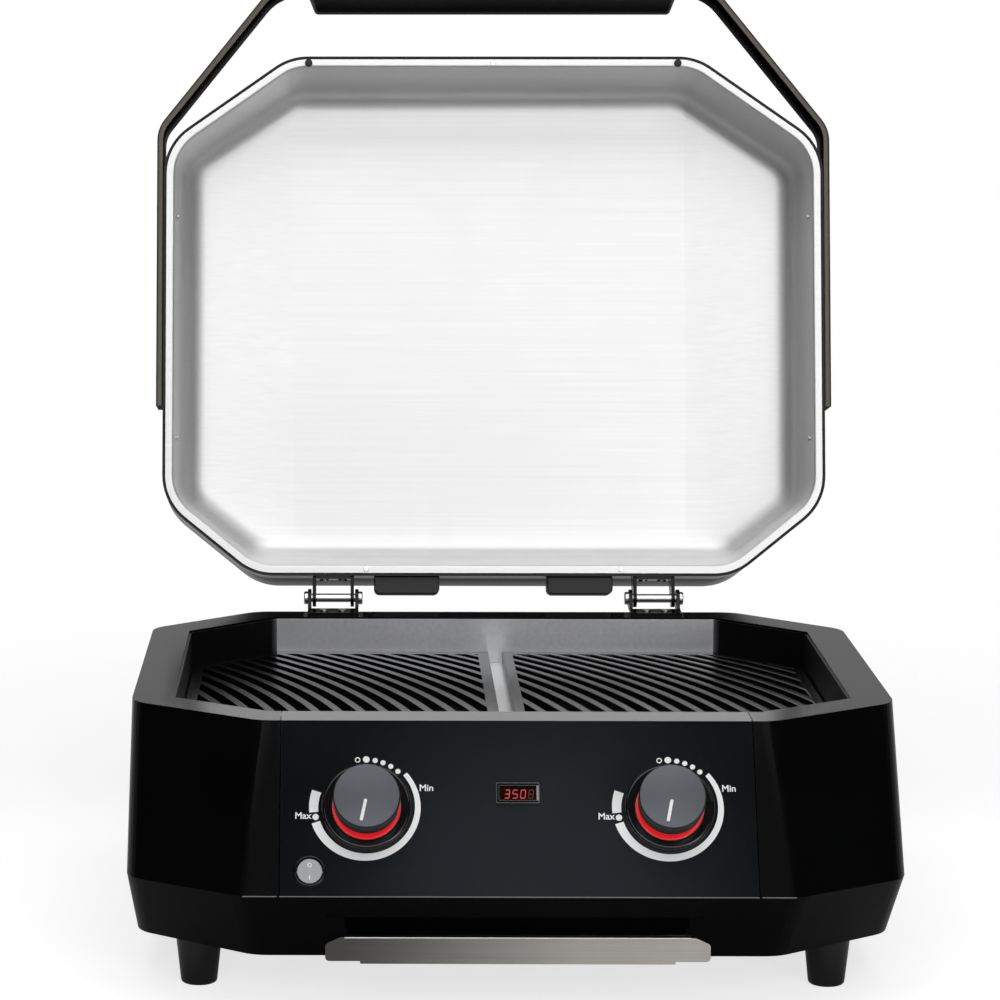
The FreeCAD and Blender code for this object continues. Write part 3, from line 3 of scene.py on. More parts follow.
import logging
import math
from collections.abc import Iterator
from contextlib import contextmanager
from dataclasses import dataclass, replace
from enum import Enum
from functools import cache

import bmesh
import bpy
import numpy as np
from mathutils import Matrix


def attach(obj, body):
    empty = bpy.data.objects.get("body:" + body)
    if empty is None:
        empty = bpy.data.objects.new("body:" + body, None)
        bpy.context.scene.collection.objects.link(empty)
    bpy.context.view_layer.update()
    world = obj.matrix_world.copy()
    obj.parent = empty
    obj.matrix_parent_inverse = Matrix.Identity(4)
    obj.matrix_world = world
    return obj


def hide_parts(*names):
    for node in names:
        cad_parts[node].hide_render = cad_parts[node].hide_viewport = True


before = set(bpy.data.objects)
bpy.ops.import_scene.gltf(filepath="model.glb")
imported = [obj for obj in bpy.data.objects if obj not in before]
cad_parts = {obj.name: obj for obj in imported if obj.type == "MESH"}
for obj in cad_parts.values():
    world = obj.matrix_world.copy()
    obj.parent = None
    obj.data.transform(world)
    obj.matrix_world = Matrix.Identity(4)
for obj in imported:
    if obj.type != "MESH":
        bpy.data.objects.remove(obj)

LOG = logging.getLogger("grill")
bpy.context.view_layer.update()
MM = 0.001
IMAGE_SIDE = 1000.0
SIDES = {"left": -1.0, "right": 1.0}
FLAT = np.eye(4)
PRINT_HEIGHT = 0.12

# Angles in degrees: past the first three an edge stays sharp or is rounded, and under the last it goes
CREASE = 32.0
SKIN_CREASE = 40.0
NODE_CREASE = 25.0
COPLANAR = 0.5

# Distances within which points are one, in drawn meshes and in those from the CAD
SAME_POINT = MM / 200
SAME_NODE_POINT = MM / 100

Array = np.ndarray
Surface = tuple[Array, list]
Colour = tuple[float, float, float]
Point = tuple[float, float, float]
Node = bpy.types.Node
Socket = bpy.types.NodeSocket
Tree = bpy.types.NodeTree


class Owner(Enum):
    """The moving body that a piece rides on."""

    BODY = "body"
    LID = "lid"
    TRAY = "tray"
    LEFT_DIAL = "left_dial"
    RIGHT_DIAL = "right_dial"
    ROCKER = "rocker"


# Places


def turn_about_x(degrees: float) -> Array:
    """Matrix that turns about X, right-handed."""
    c, s = math.cos(math.radians(degrees)), math.sin(math.radians(degrees))
    return np.array([[1, 0, 0, 0], [0, c, -s, 0], [0, s, c, 0], [0, 0, 0, 1.0]])


def moved(x: float, y: float, z: float) -> Array:
    """Matrix that moves by x, y and z."""
    matrix = np.eye(4)
    matrix[:3, 3] = (x, y, z)
    return matrix


@dataclass(frozen=True)
class Layout:
    """Where the grill's main faces and axes are, in millimetres from the rim's front edge and the floor."""

    setback: float = 302.59
    rim_height: float = 210.5
    girdle_height: float = 94.0
    girdle_reach: float = 70.6
    hinge_y: float = 476.0
    hinge_z: float = 220.0
    lid_open: float = 102.5
    lid_low: float = -5.0

    @property
    def panel_tilt(self) -> float:
        """Turn of the front panel from lying flat, in degrees."""
        return math.degrees(math.atan2(self.rim_height - self.girdle_height, self.girdle_reach))

    def panel(self, x: float = 0.0, up: float = 0.0, out: float = 0.0) -> Array:
        """Place on the slanted front panel.

        Args:
            x: across from the middle.
            up: along the slant from the panel's middle.
            out: out from the panel's face.

        Returns:
            Matrix from a flat drawing (X right, Y up the slant, Z out) to the frame.
        """
        middle = moved(0, -self.girdle_reach / 2 - self.setback, (self.rim_height + self.girdle_height) / 2)
        return middle @ turn_about_x(self.panel_tilt) @ moved(x, up, out)

    def lid(self) -> Array:
        """Matrix from the closed lid, drawn from the hinge axis, to the open lid."""
        return moved(0, self.hinge_y - self.setback, self.hinge_z) @ turn_about_x(-self.lid_open)


LAYOUT = Layout()


# Surfaces worked out as arrays


def grid_faces(rows: int, columns: int, close_rows: bool = False, close_columns: bool = False) -> list:
    """Quads of a grid of points.

    Args:
        rows: number of rows of points.
        columns: number of points in a row.
        close_rows: join the last row to the first.
        close_columns: join each row's last point to its first.

    Returns:
        Point numbers, four to a face, wound so that rows x columns points outwards.
    """
    row = np.arange(rows if close_rows else rows - 1)
    column = np.arange(columns if close_columns else columns - 1)
    r, c = np.meshgrid(row, column, indexing="ij")
    r2, c2 = (r + 1) % rows, (c + 1) % columns
    corners = [r * columns + c, r * columns + c2, r2 * columns + c2, r2 * columns + c]
    return np.stack([corner.ravel() for corner in corners], axis=1).tolist()


def capped_faces(rows: int, count: int) -> list:
    """Quads of rows of points that are closed round, with a cap on each end."""
    caps = [list(range(count))[::-1], list(range((rows - 1) * count, rows * count))]
    return grid_faces(rows, count, close_columns=True) + caps


def lathed(rows: tuple | list, bend_steps: int = 6, steps: int = 96) -> Surface:
    """Surface of a profile turned round Z: (r cos a, r sin a, z).

    Args:
        rows: radius, height and rounding of each corner, from the bottom up on the outside.
        bend_steps: points on each rounded corner.
        steps: points round.

    Returns:
        Points and faces.
    """
    table = np.array(rows, dtype=float)
    radius, height = rounded_path(table[:, :2], table[:, 2], bend_steps).T
    angle = np.linspace(0, 2 * np.pi, steps, endpoint=False)
    ring = np.stack([np.cos(angle), np.sin(angle)], axis=1)
    points = np.empty((len(radius), steps, 3))
    points[:, :, :2] = radius[:, None, None] * ring
    points[:, :, 2] = height[:, None]
    return points.reshape(-1, 3), grid_faces(len(radius), steps, close_columns=True)


def disc(radius: float, height: float) -> Surface:
    """Flat disc that stands on 0."""
    return lathed([(0, 0, 0), (radius, 0, 0), (radius, height, 0), (0, height, 0)], steps=24)


def washer(bore: float, radius: float, height: float) -> Surface:
    """Flat ring that stands on 0."""
    rows = [(bore, 0, 0), (radius, 0, 0), (radius, height, 0), (bore, height, 0), (bore, 0, 0)]
    return lathed(rows, steps=24)


def rounded_path(points: Array | list, radii: Array | tuple | list, steps: int,
                 closed: bool = False) -> Array:
    """Run of straight lines with each corner replaced by an arc of its radius.

    Args:
        points: corners of the run.
        radii: radius at each corner; 0 leaves it sharp.
        steps: points on each arc.
        closed: join the last corner to the first.

    Returns:
        Points along the run, the same number for each rounded corner.
    """
    corners = np.array(points, dtype=float)
    count = len(corners)
    run = []
    for i in range(count):
        if radii[i] <= 0 or (not closed and i in (0, count - 1)):
            run.append(corners[i : i + 1])
            continue
        before, here, after = corners[i - 1], corners[i], corners[(i + 1) % count]
        back = (before - here) / np.linalg.norm(before - here)
        ahead = (after - here) / np.linalg.norm(after - here)
        half = math.acos(np.clip(back @ ahead, -1, 1)) / 2
        middle = (back + ahead) / np.linalg.norm(back + ahead)
        centre = here + middle * radii[i] / math.sin(half)
        start = here + back * radii[i] / math.tan(half) - centre
        end = here + ahead * radii[i] / math.tan(half) - centre
        share = np.linspace(0, 1, steps)[:, None]
        sweep = math.pi - 2 * half
        weight = (np.sin((1 - share) * sweep) * start + np.sin(share * sweep) * end) / math.sin(sweep)
        run.append(centre + weight)
    return np.concatenate(run)


def mirrored(right: list[tuple[float, float]]) -> list[tuple[float, float]]:
    """Points on the right, and then their mirror images on the left, back along the same way."""
    return right + [(-x, y) for x, y in reversed(right)]


def spaced(path: Array, step: float) -> Array:
    """A path with points added along its straight runs.

    Args:
        path: (x, y) points.
        step: distance between neighbours, which is stretched to fit each run.

    Returns:
        The points, with the old ones among them.
    """
    lengths = np.linalg.norm(np.diff(path, axis=0), axis=1)
    gone = np.concatenate([[0.0], np.cumsum(lengths)])
    stops = np.concatenate([np.linspace(first, last, max(2, int((last - first) / step) + 1))[:-1]
                            for first, last in zip(gone[:-1], gone[1:])] + [gone[-1:]])
    return np.stack([np.interp(stops, gone, path[:, axis]) for axis in range(2)], axis=1)


def carried(section: Array, path: Array, upright: float) -> Surface:
    """Closed section carried along a flat path, square to it.

    Args:
        section: (across, up) points of the section, in order.
        path: (x, y) points of the path.
        upright: height of the path.

    Returns:
        Points and faces, with both ends capped.
    """
    along = np.gradient(path, axis=0)
    along /= np.linalg.norm(along, axis=1)[:, None]
    side = np.stack([along[:, 1], -along[:, 0]], axis=1)
    steps = np.diff(path, axis=0)
    unit = steps / np.linalg.norm(steps, axis=1)[:, None]
    bend = np.ones(len(path))
    bend[1:-1] = 1 / np.sqrt(np.clip((1 + np.sum(unit[1:] * unit[:-1], axis=1)) / 2, 0.25, 1))
    points = np.empty((len(path), len(section), 3))
    points[:, :, :2] = path[:, None, :] + section[None, :, :1] * (side * bend[:, None])[:, None, :]
    points[:, :, 2] = upright + section[None, :, 1]
    return points.reshape(-1, 3), capped_faces(len(path), len(section))


def box_section(width: float, height: float, edge: float) -> Array:
    """Rectangle with rounded edges, centred on 0."""
    x, y = width / 2, height / 2
    return rounded_path([(-x, -y), (x, -y), (x, y), (-x, y)], [edge] * 4, 4, closed=True)


def plate(outline: Array, thickness: float) -> Surface:
    """Flat plate of an anticlockwise outline, from 0 up to its thickness."""
    layers = [np.column_stack([outline, np.full(len(outline), height)]) for height in (0.0, thickness)]
    return np.concatenate(layers), capped_faces(2, len(outline))


def framed(outer: Array, inner: Array, high: float) -> Surface:
    """Flat frame between two outlines, from 0 up to its top.

    Args:
        outer: (x, y) points of its outside.
        inner: as many points of its inside.
        high: height of its top.

    Returns:
        Points and faces.
    """
    loops = [(outer, 0.0), (outer, high), (inner, high), (inner, 0.0)]
    points = np.concatenate([np.column_stack([loop, np.full(len(loop), height)]) for loop, height in loops])
    return points, grid_faces(len(loops), len(outer), close_rows=True, close_columns=True)


def joined(parts: list[Surface]) -> Surface:
    """Several surfaces as one.

    Args:
        parts: points and faces of each.

    Returns:
        Points and faces of them all.
    """
    points, faces, start = [], [], 0
    for part_points, part_faces in parts:
        points.append(part_points)
        faces += [[number + start for number in face] for face in part_faces]
        start += len(part_points)
    return np.concatenate(points), faces


def shifted(part: Surface, x: float, y: float = 0.0) -> Surface:
    """A surface moved by x and y."""
    return part[0] + np.array([x, y, 0.0]), part[1]


# Shader nodes and the effects that the finishes share


def feed(tree: Tree, node: Node, feeds: dict) -> None:
    """Link or set a node's inputs.

    Args:
        tree: the nodes.
        node: the node that is fed.
        feeds: for each input, by name or number, the socket that feeds it or its fixed value.
    """
    for key, value in feeds.items():
        if isinstance(value, Socket):
            tree.links.new(value, node.inputs[key])
        else:
            node.inputs[key].default_value = value


def add_node(tree: Tree, kind: str, result: str, feeds: dict, **settings: object) -> Socket:
    """Add a shader node.

    Args:
        tree: the nodes that it joins.
        kind: its type, without the ShaderNode in front.
        result: name of the output that is wanted.
        feeds: what goes into its inputs, as in feed.
        settings: the node's own settings.

    Returns:
        The wanted output.
    """
    node = tree.nodes.new(f"ShaderNode{kind}")
    for name, value in settings.items():
        setattr(node, name, value)
    feed(tree, node, feeds)
    return node.outputs[result]


def add_math(tree: Tree, operation: str, *values: Socket | float) -> Socket:
    """Add a calculation with sockets and numbers, and give its result."""
    return add_node(tree, "Math", "Value", dict(enumerate(values)), operation=operation)


def add_range(tree: Tree, value: Socket, between: tuple, to: tuple, kind: str = "LINEAR") -> Socket:
    """Add a range that takes one span of values to another.

    Args:
        tree: the nodes that it joins.
        value: what is taken.
        between: lowest and highest value.
        to: result at each of them, a socket or a number.
        kind: how it runs between them.

    Returns:
        The result.
    """
    feeds = {"Value": value, "From Min": between[0], "From Max": between[1], "To Min": to[0], "To Max": to[1]}
    return add_node(tree, "MapRange", "Result", feeds, interpolation_type=kind)


def new_material(name: str) -> tuple[bpy.types.Material, Tree, Node]:
    """Make a material.

    Args:
        name: its name.

    Returns:
        The material, its nodes and its shader.
    """
    material = bpy.data.materials.new(name)
    material.use_nodes = True
    return material, material.node_tree, material.node_tree.nodes["Principled BSDF"]


class Effects:
    """Shader node groups that several finishes place with their own values."""

    BRUSH_DETAIL = 4.0
    PATCH_DETAIL = 3.0

    def __init__(self) -> None:
        """Build the groups once: fine grain, broad patches of handling and brush lines along X."""
        self.grain = self._noise("surface_grain", {"Scale": "Scale", "Fineness": "Detail"}, {})
        self.handling = self._noise("handling_marks", {"Scale": "Scale", "Softness": "Distortion"},
                                    {"Detail": self.PATCH_DETAIL})
        self.brushing = self._noise("brushed_lines", {"Across": "YZ", "Along": "X"},
                                    {"Scale": 1.0, "Detail": self.BRUSH_DETAIL})

    @staticmethod
    def _noise(name: str, inputs: dict[str, str], fixed: dict[str, float]) -> Tree:
        """Make a group of one noise, with a Vector input, number inputs and a Mask output.

        Args:
            name: the group's name.
            inputs: for each number input, the noise's input that it feeds, or the axes that it scales.
            fixed: the noise's inputs that stay the same.

        Returns:
            The node group.
        """
        tree = bpy.data.node_groups.new(name, "ShaderNodeTree")
        tree.interface.new_socket("Vector", in_out="INPUT", socket_type="NodeSocketVector")
        for label in inputs:
            tree.interface.new_socket(label, in_out="INPUT", socket_type="NodeSocketFloat")
        tree.interface.new_socket("Mask", in_out="OUTPUT", socket_type="NodeSocketFloat")
        start = tree.nodes.new("NodeGroupInput").outputs
        axes = {axis: start[label] for label, to in inputs.items() if set(to) <= set("XYZ") for axis in to}
        place = start["Vector"]
        if axes:
            stretch = add_node(tree, "CombineXYZ", "Vector", axes)
            place = add_node(tree, "VectorMath", "Vector", {0: place, 1: stretch}, operation="MULTIPLY")
            inputs = {}
        fed = {to: start[label] for label, to in inputs.items()}
        noise = add_node(tree, "TexNoise", "Fac", {"Vector": place, **fixed, **fed})
        feed(tree, tree.nodes.new("NodeGroupOutput"), {"Mask": noise})
        return tree


EFFECTS = Effects()


# Finishes


class Shade(Enum):
    """What a finish's painted shade and light run with."""

    NONE = "none"
    ACROSS = "x"
    SIDES = "|x|"
    DISTANCE = "distance from a point"


class Texture(Enum):
    """What a finish's fine texture is."""

    GRAIN = "grain"
    BRUSHED = "brushed"


@dataclass(frozen=True)
class Finish:
    """A surface finish: two colours that its texture mixes, its gloss and its relief."""

    name: str
    colour: Colour
    second: Colour
    roughness: float = 0.45
    spread: float = 0.1
    metallic: float = 0.0
    specular: float = 0.5
    texture: Texture = Texture.GRAIN
    scale: float = 900.0
    along: float = 6.0
    fineness: float = 3.0
    relief: float = 0.02
    depth: float = 0.0004
    patches: float = 9.0
    edge_tint: float = 1.0
    # Painted shade and light: the colour is scaled by a share that runs across the piece
    shade: Shade = Shade.NONE
    shade_share: tuple[float, float] = (1.0, 1.0)
    shade_between: tuple[float, float] = (0.0, 1.0)
    shade_point: Point = (0.0, 0.0, 0.0)

    PATCH_SOFTNESS = 0.6
    MIXED_BETWEEN = (0.12, 0.42)

    def material(self) -> bpy.types.Material:
        """Build the finish as a material.

        Returns:
            The material.
        """
        material, tree, shader = new_material(self.name)
        place = add_node(tree, "TexCoord", "Object", {})
        fine = self._texture(tree, place)
        patches = {"Vector": place, "Scale": self.patches, "Softness": self.PATCH_SOFTNESS}
        broad = add_node(tree, "Group", "Mask", patches, node_tree=EFFECTS.handling)
        mixed = add_range(tree, add_math(tree, "MULTIPLY", fine, broad), self.MIXED_BETWEEN, (0.0, 1.0))
        colours = {"Factor": mixed, "A": (*self.colour, 1), "B": (*self.second, 1)}
        colour = add_node(tree, "Mix", "Result", colours, data_type="RGBA")
        mean = add_math(tree, "MULTIPLY", add_math(tree, "ADD", fine, broad), 0.5)
        roughness = (self.roughness - self.spread / 2, self.roughness + self.spread / 2)
        relief = {"Height": fine, "Strength": self.relief, "Distance": self.depth}
        feed(tree, shader, {
            "Base Color": self._shade(tree, place, colour),
            "Roughness": add_range(tree, mean, (0.0, 1.0), roughness),
            "Normal": add_node(tree, "Bump", "Normal", relief),
            "Metallic": self.metallic,
            "Specular IOR Level": self.specular,
            "Specular Tint": (self.edge_tint, self.edge_tint, self.edge_tint, 1),
        })
        return material

    def _shade(self, tree: Tree, place: Socket, colour: Socket) -> Socket:
        """Paint shade and light into the colour across the piece: colour times a share that runs with x, |x|
        or a distance.

        Args:
            tree: the material's nodes.
            place: where on the piece.
            colour: the even colour.

        Returns:
            The colour with its painted shade and light, or the even one where the finish has no shade.
        """
        if self.shade is Shade.NONE:
            return colour
        if self.shade is Shade.DISTANCE:
            ends = {0: place, 1: self.shade_point}
            away = add_node(tree, "VectorMath", "Value", ends, operation="DISTANCE")
        else:
            away = add_node(tree, "SeparateXYZ", "X", {"Vector": place})
        if self.shade is Shade.SIDES:
            away = add_math(tree, "ABSOLUTE", away)
        share = add_range(tree, away, self.shade_between, self.shade_share, "SMOOTHSTEP")
        return add_node(tree, "VectorMath", "Vector", {"Vector": colour, "Scale": share}, operation="SCALE")

    def _texture(self, tree: Tree, place: Socket) -> Socket:
        """Place the fine texture's group.

        Args:
            tree: the material's nodes.
            place: where on the piece.

        Returns:
            Its mask.
        """
        if self.texture is Texture.BRUSHED:
            feeds = {"Vector": place, "Across": self.scale, "Along": self.along}
            return add_node(tree, "Group", "Mask", feeds, node_tree=EFFECTS.brushing)
        feeds = {"Vector": place, "Scale": self.scale, "Fineness": self.fineness}
        return add_node(tree, "Group", "Mask", feeds, node_tree=EFFECTS.grain)


@dataclass(frozen=True)
class Glow:
    """A lit, coloured finish."""

    name: str
    colour: Colour
    light: Colour
    strength: float
    roughness: float = 0.25
    patches: float = 60.0
    dimmed: float = 0.8

    def material(self) -> bpy.types.Material:
        """Build the finish as a material.

        Returns:
            The material.
        """
        material, tree, shader = new_material(self.name)
        feed(tree, shader, {"Roughness": self.roughness, "Emission Strength": self.strength})
        patches = {"Vector": add_node(tree, "TexCoord", "Object", {}), "Scale": self.patches}
        broad = add_node(tree, "Group", "Mask", patches, node_tree=EFFECTS.handling)
        for socket, colour in (("Base Color", self.colour), ("Emission Color", self.light)):
            dim = tuple(self.dimmed * part for part in colour)
            colours = {"Factor": broad, "A": (*colour, 1), "B": (*dim, 1)}
            feed(tree, shader, {socket: add_node(tree, "Mix", "Result", colours, data_type="RGBA")})
        return material


@cache
def paint(finish: Finish | Glow) -> bpy.types.Material:
    """The material of a finish, made once."""
    return finish.material()


BLACK_PAINT = Finish("satin_black_paint", (0.0012, 0.0013, 0.0014), (0.0024, 0.0026, 0.0028), 0.17,
    spread=0.06, specular=0.19, scale=1400.0, relief=0.03)
# Panel paint with painted light and shade: lighter round a point low in the panel's middle, darker towards
# its ends
PANEL_PAINT = replace(BLACK_PAINT, name="panel_black_paint_painted_light", colour=(0.0165, 0.0205, 0.0243),
    second=(0.0195, 0.0243, 0.028), roughness=0.12, spread=0.04, specular=0.3,
    shade=Shade.DISTANCE, shade_share=(1.12, 0.22), shade_between=(0.05, 0.2),
    shade_point=(0.012, -0.37, 0.1))
LID_PAINT = replace(BLACK_PAINT, name="lid_black_paint")
BELLY_PAINT = replace(BLACK_PAINT, name="belly_black_paint", specular=0.03)
# Fire box steel with painted shade: the side walls, past about 0.19 m from the middle, are darkened to 6
# percent
BOX_STEEL_PAINTED_SHADE = Finish("fire_box_steel_painted_shade", (0.62, 0.625, 0.65), (0.72, 0.725, 0.75), 0.4, metallic=1.0,
    scale=260.0, shade=Shade.SIDES, shade_share=(1.0, 0.06), shade_between=(0.187, 0.193))
RAIL_STEEL = Finish("rail_steel", (0.3, 0.3, 0.31), (0.4, 0.4, 0.41), 0.4, metallic=1.0, scale=500.0)
CAST_IRON = Finish("enamelled_grate", (0.003, 0.003, 0.003), (0.007, 0.007, 0.0075), 0.24,
    spread=0.12, scale=420.0, fineness=5.0, relief=0.2, depth=0.0005)
BRIGHT_STEEL = Finish("bright_steel", (0.68, 0.68, 0.67), (0.78, 0.78, 0.77), 0.3, metallic=1.0,
    texture=Texture.BRUSHED, scale=700.0, along=9.0, relief=0.05)
LINER_STEEL = Finish("lid_liner_steel", (0.80, 0.80, 0.80), (0.86, 0.86, 0.86), 0.5, spread=0.06,
    metallic=1.0, texture=Texture.BRUSHED, scale=420.0, along=4.0)
# Tray steel with painted light and shade: darker to the left, brighter to the right
TRAY_STEEL = Finish("tray_brushed_steel_painted_light", (0.46, 0.44, 0.415), (0.55, 0.53, 0.50), 0.36, spread=0.06,
    metallic=1.0, texture=Texture.BRUSHED, scale=1500.0, along=8.0, relief=0.03,
    shade=Shade.ACROSS, shade_share=(0.28, 1.35), shade_between=(-0.15, 0.09))
STRAP_STEEL = Finish("strap_dark_steel", (0.062, 0.057, 0.047), (0.078, 0.072, 0.06), 0.3,
    spread=0.04, metallic=1.0, scale=300.0, relief=0.01, edge_tint=0.1)
SCREW_STEEL = Finish("screw_steel", (0.26, 0.26, 0.255), (0.36, 0.36, 0.355), 0.35, metallic=1.0,
    scale=1500.0)
# Grey steel for the beads that are painted highlights on the black paint's folded edges
HEM_HIGHLIGHT = replace(SCREW_STEEL, name="painted_hem_highlight", colour=(0.13, 0.135, 0.14), second=(0.18, 0.185, 0.19))
PIN_STEEL = Finish("pin_steel", (0.72, 0.72, 0.71), (0.80, 0.80, 0.79), 0.3, metallic=1.0,
    scale=1500.0)
GRIP_PLASTIC = Finish("grip_plastic", (0.006, 0.006, 0.006), (0.012, 0.012, 0.012), 0.5,
    scale=1600.0, relief=0.15)
KNOB_SIDE = Finish("knob_side", (0.008, 0.008, 0.0085), (0.014, 0.014, 0.015), 0.35, scale=1800.0)
KNOB_FACE = Finish("knob_face", (0.082, 0.09, 0.1), (0.118, 0.13, 0.142), 0.4, spread=0.08,
    metallic=0.6, scale=2600.0, relief=0.04)
GLOSS_BLACK = Finish("gloss_black", (0.004, 0.004, 0.004), (0.006, 0.006, 0.006), 0.12, spread=0.05)
WHITE_PRINT = Finish("white_print", (0.93, 0.94, 0.94), (0.97, 0.98, 0.98), 0.5)
SWITCH_GREY = Finish("switch_grey", (0.40, 0.42, 0.44), (0.48, 0.50, 0.52), 0.42, scale=2200.0)
CLEAR_BEZEL = Finish("display_dark_frame", (0.006, 0.007, 0.007), (0.01, 0.011, 0.011), 0.15,
    spread=0.06, specular=0.15, scale=2000.0)
# Pale greys for painted highlights on clear edges; the dim copy is the shaded one
EDGE_HIGHLIGHT = Finish("painted_edge_highlight", (0.20, 0.22, 0.22), (0.34, 0.37, 0.36), 0.2, spread=0.08,
    scale=700.0)
EDGE_DIM_HIGHLIGHT = replace(EDGE_HIGHLIGHT, name="painted_dim_edge_highlight", colour=(0.07, 0.085, 0.085),
    second=(0.13, 0.15, 0.15))
DISPLAY_DARK = Finish("display_dark", (0.012, 0.002, 0.002), (0.02, 0.003, 0.003), 0.08, spread=0.03)
BOARD_GREEN = Finish("board_green", (0.01, 0.06, 0.02), (0.015, 0.09, 0.03), 0.5)
RUBBER = Finish("bumper_rubber", (0.008, 0.008, 0.008), (0.016, 0.016, 0.016), 0.6, scale=1200.0,
    relief=0.15)
FOOT_PLASTIC = Finish("foot_plastic", (0.002, 0.0022, 0.0024), (0.004, 0.0043, 0.0046), 0.12,
    spread=0.05)
TUBE_METAL = Finish("heating_tube", (0.06, 0.055, 0.05), (0.12, 0.10, 0.09), 0.5, metallic=0.8,
    scale=600.0)
RED_LIGHT = Glow("red_light", (0.5, 0.008, 0.008), (1.0, 0.012, 0.018), 0.62)
DIGIT_LIGHT = Glow("digit_light", (0.3, 0.03, 0.03), (1.0, 0.10, 0.09), 0.5)
# The unlit digit's faint glow is painted light
DIGIT_PAINTED_GLOW = Glow("unlit_digit_painted_glow", (0.06, 0.01, 0.01), (0.5, 0.05, 0.06), 0.09)


# Pieces


@contextmanager
def edited(mesh: bpy.types.Mesh) -> Iterator[bmesh.types.BMesh]:
    """Open a mesh for editing, and write it back at the end.

    Args:
        mesh: the mesh.

    Yields:
        Its editable copy.
    """
    work = bmesh.new()
    work.from_mesh(mesh)
    yield work
    work.to_mesh(mesh)
    work.free()


def smooth(mesh: bpy.types.Mesh, angle: float) -> None:
    """Shade smooth, with edges sharper than an angle in degrees left sharp."""
    mesh.polygons.foreach_set("use_smooth", np.ones(len(mesh.polygons), dtype=bool))
    mesh.set_sharp_from_angle(angle=math.radians(angle))


def hang(name: str, mesh: bpy.types.Mesh, owner: Owner, stands_for: tuple) -> bpy.types.Object:
    """Make an object of a mesh and hang it on its body.

    Args:
        name: the piece's name.
        mesh: its mesh.
        owner: the body that it rides on.
        stands_for: CAD nodes that it replaces.

    Returns:
        The new object.
    """
    piece = bpy.data.objects.new(name, mesh)
    bpy.context.scene.collection.objects.link(piece)
    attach(piece, owner.value)
    if stands_for:
        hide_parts(*stands_for)
    LOG.info("piece %s on %s", name, owner.value)
    return piece


def add_piece(name: str, surface: Surface, where: Array, owner: Owner, finish: Finish | Glow,
              stands_for: tuple[str, ...] = (), angle: float = CREASE) -> bpy.types.Object:
    """Make an object from a surface, with its place in its mesh.

    Args:
        name: the piece's name.
        surface: points in millimetres, and faces.
        where: matrix from the drawing to the frame.
        owner: the body that it rides on.
        finish: its finish.
        stands_for: CAD nodes that it replaces.
        angle: edges sharper than this stay sharp.

    Returns:
        The new object.
    """
    points, faces = surface
    placed = (points @ where[:3, :3].T + where[:3, 3]) * MM
    mesh = bpy.data.meshes.new(name)
    mesh.from_pydata(placed.tolist(), [], faces)
    with edited(mesh) as work:
        bmesh.ops.remove_doubles(work, verts=work.verts, dist=SAME_POINT)
        bmesh.ops.dissolve_degenerate(work, edges=work.edges, dist=SAME_POINT)
        bmesh.ops.recalc_face_normals(work, faces=work.faces)
    smooth(mesh, angle)
    mesh.materials.append(paint(finish))
    return hang(name, mesh, owner, stands_for)


def add_wall(piece: bpy.types.Object, thickness: float) -> None:
    """Give a skin its thickness, inwards, and keep its rims crisp.

    Args:
        piece: the skin.
        thickness: in millimetres.
    """
    with edited(piece.data) as work:
        for edge in work.edges:
            if edge.is_boundary:
                edge.smooth = False
    wall = piece.modifiers.new("wall", "SOLIDIFY")
    wall.thickness = thickness * MM
    wall.offset = -1


def add_softened(node: str, owner: Owner, finish: Finish, edge: float, segments: int) -> None:
    """Copy a CAD node, and add the small rounds that its folded, cast or moulded edges have.

    Args:
        node: the CAD node that the copy stands for.
        owner: the body that it rides on.
        finish: its finish.
        edge: size of the rounds in millimetres.
        segments: facets across a round.
    """
    name = f"{node}_dressed"
    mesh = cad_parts[node].data.copy()
    mesh.name = name
    with edited(mesh) as work:
        bmesh.ops.remove_doubles(work, verts=work.verts, dist=SAME_NODE_POINT)
        bmesh.ops.dissolve_limit(work, angle_limit=math.radians(COPLANAR), verts=work.verts, edges=work.edges)
    mesh.materials.clear()
    mesh.materials.append(paint(finish))
    smooth(mesh, NODE_CREASE)
    piece = hang(name, mesh, owner, (node,))
    bevel = piece.modifiers.new("edges", "BEVEL")
    bevel.width = edge * MM
    bevel.segments = segments
    bevel.limit_method = "ANGLE"
    bevel.angle_limit = math.radians(NODE_CREASE)
    bevel.harden_normals = True


# The lid


@dataclass(frozen=True)
class Outline:
    """The lid's rim from above, in millimetres, drawn closed from the hinge axis."""

    width: float = 578.0
    depth: float = 457.0
    to_hinge: float = 19.0
    front_width: float = 357.0
    back_width: float = 419.0
    front_corner: float = 78.0
    back_corner: float = 64.0
    radius: float = 50.0
    least_radius: float = 2.0
    steps: int = 10

    def loop(self, setin: float, back_setin: float) -> Array:
        """Rounded eight-sided loop: the rim moved in, by its own amount at the hinges.

        Args:
            setin: how far in.
            back_setin: how far in at the hinges.

        Returns:
            (x, y) points, anticlockwise, y from the hinge axis.
        """
        half = self.width / 2
        front, back = -self.to_hinge - self.depth, -self.to_hinge
        right = [(self.front_width / 2, front), (half, front + self.front_corner),
                 (half, back - self.back_corner), (self.back_width / 2, back)]
        corners = np.array(mirrored(right))
        ahead = np.roll(corners, -1, axis=0) - corners
        ahead /= np.linalg.norm(ahead, axis=1)[:, None]
        inward = np.stack([-ahead[:, 1], ahead[:, 0]], axis=1)
        amount = np.full(len(corners), setin)
        amount[len(right) - 1] = back_setin
        before = np.roll(inward, 1, axis=0)
        before_amount = np.roll(amount, 1)
        turn = inward[:, 0] * before[:, 1] - inward[:, 1] * before[:, 0]
        moved_x = (amount * before[:, 1] - before_amount * inward[:, 1]) / turn
        moved_y = (before_amount * inward[:, 0] - amount * before[:, 0]) / turn
        moved_in = corners + np.stack([moved_x, moved_y], axis=1)
        radius = max(self.radius - max(setin, 0.0), self.least_radius)
        return rounded_path(moved_in, [radius] * len(moved_in), self.steps, closed=True)


RIM = Outline()


